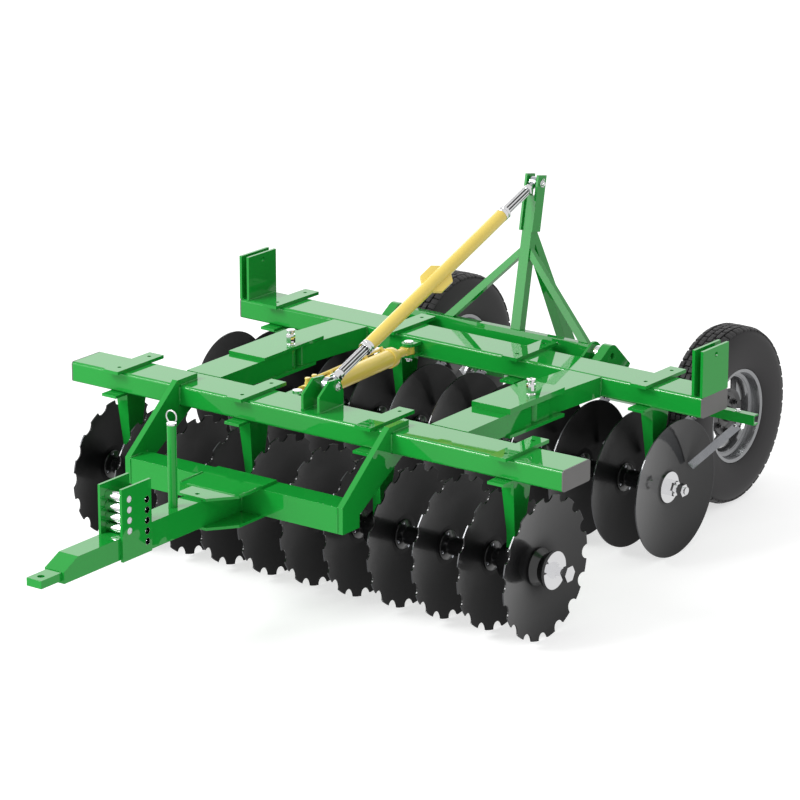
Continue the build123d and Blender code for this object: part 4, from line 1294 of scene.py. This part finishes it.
@dataclass
class Gang:
    """Bolts, rings and grease nipples on one gang's bearings, and a ground ring with bolts on each spool.

    The last clamp and the last rim are the places along the beam of the bearing and of the disc that stand
    furthest to the right. A drum is its radius and its width. Outlines are (radius, distance outwards).
    """

    name: str
    at: Callable[[float, float, float], Vector]
    along: Vector
    back: Vector
    frame_body: Body
    gang_body: Body
    axis_back: float
    last_clamp: float
    last_rim: float
    clamp_count: int = 4
    clamp_step: float = 675.0
    drum: tuple[float, float] = (75.0, 84.0)
    bearing_bolts: BoltCircle = BoltCircle(6, 65.5, 0.4, (Step(6.0, 7.5, 6, 0.8),))
    seal: tuple[tuple[float, float], ...] = (
        (39.0, 0.0), (39.0, 8.0), (43.0, 10.0), (49.0, 10.0), (50.0, 7.0), (56.5, 7.0), (57.5, 5.0),
        (57.5, 0.0),
    )
    nipple_lean: float = 0.9
    nipple_sunk: float = 1.0
    nipple: tuple[Step, ...] = (Step(8.0, 6.0, 6, 0.5), Step(9.0, 3.2, 12, far_radius=2.2))
    hub_count: int = 10
    hub_step: float = 225.0
    hub_bolts: BoltCircle = BoltCircle(4, 56.0, 0.3, (Step(7.0, 7.0, 6, 0.8),), out=6.0)
    hub_ring: tuple[tuple[float, float], ...] = (
        (40.0, 0.0), (63.5, 0.0), (63.5, -4.0), (60.0, -7.5), (52.0, -9.0), (40.0, -15.0),
    )
    dish: float = 37.0

    def build(self) -> None:
        """Fits out the spools and the bearings."""
        self.hubs()
        self.bearings()

    def hubs(self) -> None:
        """Adds the ground ring and the bolts where each spool clamps a disc."""
        rings = Shape()
        bolts = Shape()
        for i in range(1, self.hub_count + 1):
            centre = self.at(self.last_rim - self.dish - i * self.hub_step, self.axis_back, DISC_AXIS_Z)
            rings.lathe(centre, -self.along, self.hub_ring, steps=40)
            self.hub_bolts.add(bolts, centre, self.along, self.back)
        rings.finish(f"{self.name}_spool_rings", self.gang_body, CASTING)
        bolts.finish(f"{self.name}_spool_bolts", self.gang_body, TURNED_ROD)

    def bearings(self) -> None:
        """Adds each bearing's bolts, nipple and grooved rings."""
        bolts = Shape()
        seals = Shape()
        radius, width = self.drum
        lean = (UP - self.back * self.nipple_lean).normalized()
        for i in range(self.clamp_count):
            centre = self.at(self.last_clamp - i * self.clamp_step, self.axis_back, DISC_AXIS_Z)
            for way in (-self.along, self.along):
                face = centre + way * width / 2 * MM
                self.bearing_bolts.add(bolts, face, way, self.back)
                seals.lathe(face, way, self.seal, steps=36)
            bolts.stack(centre + lean * (radius - self.nipple_sunk) * MM, lean, self.nipple)
        bolts.finish(f"{self.name}_bearing_bolts", self.frame_body, BRIGHT_PLATE)
        seals.finish(f"{self.name}_bearing_rings", self.frame_body, CASTING)


@dataclass(frozen=True)
class BeadRun:
    """Weld beads that are alike, on upright planes across a beam.

    The planes are places along the beam, and both ends are (back, up) from the beam, in millimetres.
    """

    planes: tuple[float, ...]
    start: tuple[float, float]
    end: tuple[float, float]


@dataclass
class Frame:
    """Fasteners and welds of the two frames, and the bright tubes and liners of the clevis.

    A row of holes is how far back it is, the height of its lowest hole, and how many it has.
    """

    drawbar_x: float = -133.0
    plate_gap: float = 100.0
    plate_t: float = 12.0
    front_holes: tuple[float, float, int] = (-1070.0, 546.0, 4)
    rear_holes: tuple[float, float, int] = (-960.0, 471.5, 5)
    hole_step: float = 44.5
    spacer_inset: float = 1.0
    spacer: Step = Step(98.0, 19.6, 32, 1.0)
    liner: tuple[float, float] = (13.7, 14.7)
    liner_inset: float = 0.5
    rock: tuple[float, float, float] = (-60.0, 1515.0, 750.0)
    sleeve_starts: tuple[float, float] = (-552.0, 504.0)
    sleeve: Step = Step(48.0, 36.0, 40, 1.0)
    blade_count: int = 11
    blade_step: float = 225.0
    last_blade: float = 1263.4
    bar_back: float = 290.0
    bar_z: tuple[float, float] = (585.0, 645.0)
    bar_half: float = 24.0
    blade_bolt: tuple[Step, ...] = (Step(2.5, 12.0, 24, 0.5), Step(8.0, 9.5, 6, 1.0))
    blade_nut: Step = Step(6.0, 8.0, 6, 0.8)
    pin_places: tuple[tuple[str, float, float], ...] = (
        ("hinge_pin", 650.0, 710.0),
        ("stop_pin", -640.0, 730.0),
    )
    pin_shank: Section = (19.0, 40, 1.0)
    pin_nut: tuple[Step, ...] = (
        Step(3.0, 19.0, 40, 1.0),
        Step(8.0, 14.0, 32, 0.5),
        Step(38.0, 20.5, 10, 2.0),
        Step(10.0, 13.5, 32, 0.5),
        Step(11.0, 19.5, 40, 2.0),
    )
    bead: Section = (4.5, 10, 1.0)
    front_beads: tuple[BeadRun, ...] = (
        # Both flanks of each sloped arm, up the beam's face and along its top
        BeadRun((-706.0, -679.0, 413.0, 440.0), (-1.0, 690.0), (-1.0, 770.0)),
        BeadRun((-706.0, -679.0, 413.0, 440.0), (5.0, 774.0), (118.0, 774.0)),
        # The arms' inner flanks, up the cross tube's face and along its top
        BeadRun((-679.0, 413.0), (-338.0, 430.0), (-338.0, 536.0)),
        BeadRun((-679.0, 413.0), (-334.0, 540.0), (-226.0, 540.0)),
        # The drawbar's flanks, up the cross tube's face and under the edge of the gusset plate
        BeadRun((-183.0, -83.0), (-338.0, 428.0), (-338.0, 536.0)),
        BeadRun((-183.0, -83.0), (-596.0, 540.0), (-340.0, 540.0)),
        # The ears' flanks on the beam's top
        BeadRun((-50.0, -38.0, 34.0, 46.0), (32.0, 774.0), (196.0, 774.0)),
        # Over the gusset plate, beside the drawbar
        BeadRun((-288.0, 22.0), (-338.0, 551.0), (-480.0, 551.0)),
    )
    rear_beads: tuple[BeadRun, ...] = (
        # The end lugs' flanks on the beam's top
        BeadRun((-1253.7, -1224.7, -1211.7, 1211.7, 1224.7, 1253.7), (4.0, 774.0), (194.0, 774.0)),
        # The rails' flanks on the beam's face
        BeadRun((-714.0, -526.0, 561.0, 749.0), (-1.0, 690.0), (-1.0, 768.0)),
    )

    def build(self) -> None:
        """Makes every small part of the frames."""
        self.spacers()
        self.journals()
        self.scraper_bolts()
        self.standing_pins()
        self.welds()

    def spacers(self) -> None:
        """Adds the bright tubes over the spacers between the clevis plates, and the bores' liners."""
        tubes = Shape()
        liners = Shape()
        inner, outer = self.liner
        length = self.plate_gap + 2 * (self.plate_t - self.liner_inset)
        outline = ((inner, 0.0), (outer, 0.0), (outer, length), (inner, length))
        left = self.drawbar_x - self.plate_gap / 2
        for holes in (self.front_holes, self.rear_holes):
            y, lowest, count = holes
            for z in (lowest + i * self.hole_step for i in range(count)):
                if holes is self.front_holes:
                    tubes.rod(front_at(left + self.spacer_inset, y, z), ALONG_X, self.spacer)
                start = front_at(left - self.plate_t + self.liner_inset, y, z)
                liners.lathe(start, ALONG_X, outline, steps=32)
        tubes.finish("clevis_spacer_tubes", Body.FRONT_FRAME, BRIGHT_PLATE)
        liners.finish("clevis_bore_liners", Body.FRONT_FRAME, BRIGHT_PLATE)

    def journals(self) -> None:
        """Adds the ground sleeves of the rockshaft between its brackets."""
        shape = Shape()
        middle, back, height = self.rock
        for start in self.sleeve_starts:
            shape.rod(front_at(middle + start, back, height), ALONG_X, self.sleeve)
        shape.finish("rockshaft_sleeves", Body.WHEEL_FRAME, BRIGHT_PLATE)

    def scraper_bolts(self) -> None:
        """Adds a bolt through the scraper bar over each blade, and a nut on its front."""
        shape = Shape()
        low, high = self.bar_z
        for i in range(self.blade_count):
            u = self.last_blade - i * self.blade_step
            shape.stack(rear_at(u, self.bar_back, high), UP, self.blade_bolt)
            shape.rod(rear_at(u, self.bar_back - self.bar_half, low), REAR_BACK, self.blade_nut)
        shape.finish("scraper_bolts", Body.REAR_FRAME, BRIGHT_PLATE)

    def standing_pins(self) -> None:
        """Makes the hinge pin and the stop pin, each a painted shank under a bright nut and head."""
        for name, x, y in self.pin_places:
            low, high = (corner[2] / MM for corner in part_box(name))
            foot = high - sum(step.length for step in self.pin_nut)
            shank = Shape()
            shank.rod(front_at(x, y, low), UP, Step(foot - low, *self.pin_shank))
            shank.finish(f"{name}_painted_shank", Body.FRONT_FRAME, ENAMEL)
            nut = Shape()
            nut.stack(front_at(x, y, foot), UP, self.pin_nut)
            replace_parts(nut.finish(f"{name}_with_nut", Body.FRONT_FRAME, BRIGHT_PLATE), name)

    def welds(self) -> None:
        """Adds the weld beads at the joints that show."""
        for name, body, at, runs in (
            ("front_welds", Body.FRONT_FRAME, front_at, self.front_beads),
            ("rear_welds", Body.REAR_FRAME, rear_at, self.rear_beads),
        ):
            shape = Shape()
            for run in runs:
                for plane in run.planes:
                    start, end = at(plane, *run.start), at(plane, *run.end)
                    way = end - start
                    shape.rod(start, way, Step(way.length / MM, *self.bead))
            shape.finish(name, body, ENAMEL)


@dataclass
class Harrow:
    """The whole machine, built in order."""

    wheels: tuple[Wheel, ...] = (
        Wheel("left", Body.LEFT_WHEEL, -691.0, -1),
        Wheel("right", Body.RIGHT_WHEEL, 809.0, 1),
    )
    gangs: tuple[Gang, ...] = (
        Gang(
            "front", front_at, ALONG_X, BACK, Body.FRONT_FRAME, Body.FRONT_GANG,
            axis_back=FRONT_AXIS_BACK, last_clamp=995.0, last_rim=1145.2,
        ),
        Gang(
            "rear", rear_at, REAR_ALONG, REAR_BACK, Body.REAR_FRAME, Body.REAR_GANG,
            axis_back=REAR_AXIS_BACK, last_clamp=965.0, last_rim=1076.4,
        ),
    )

    def build(self) -> None:
        """Builds every sub-assembly."""
        for assembly in (Paintwork(), *self.wheels, Cylinder(), Turnbuckle(), *self.gangs, Frame()):
            assembly.build()
            LOG.info("%s is built", type(assembly).__name__)


def main() -> None:
    logging.basicConfig(level=logging.INFO, format="%(name)s: %(message)s")
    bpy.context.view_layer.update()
    Studio().build()
    Harrow().build()


if __name__ == "__main__":
    main()
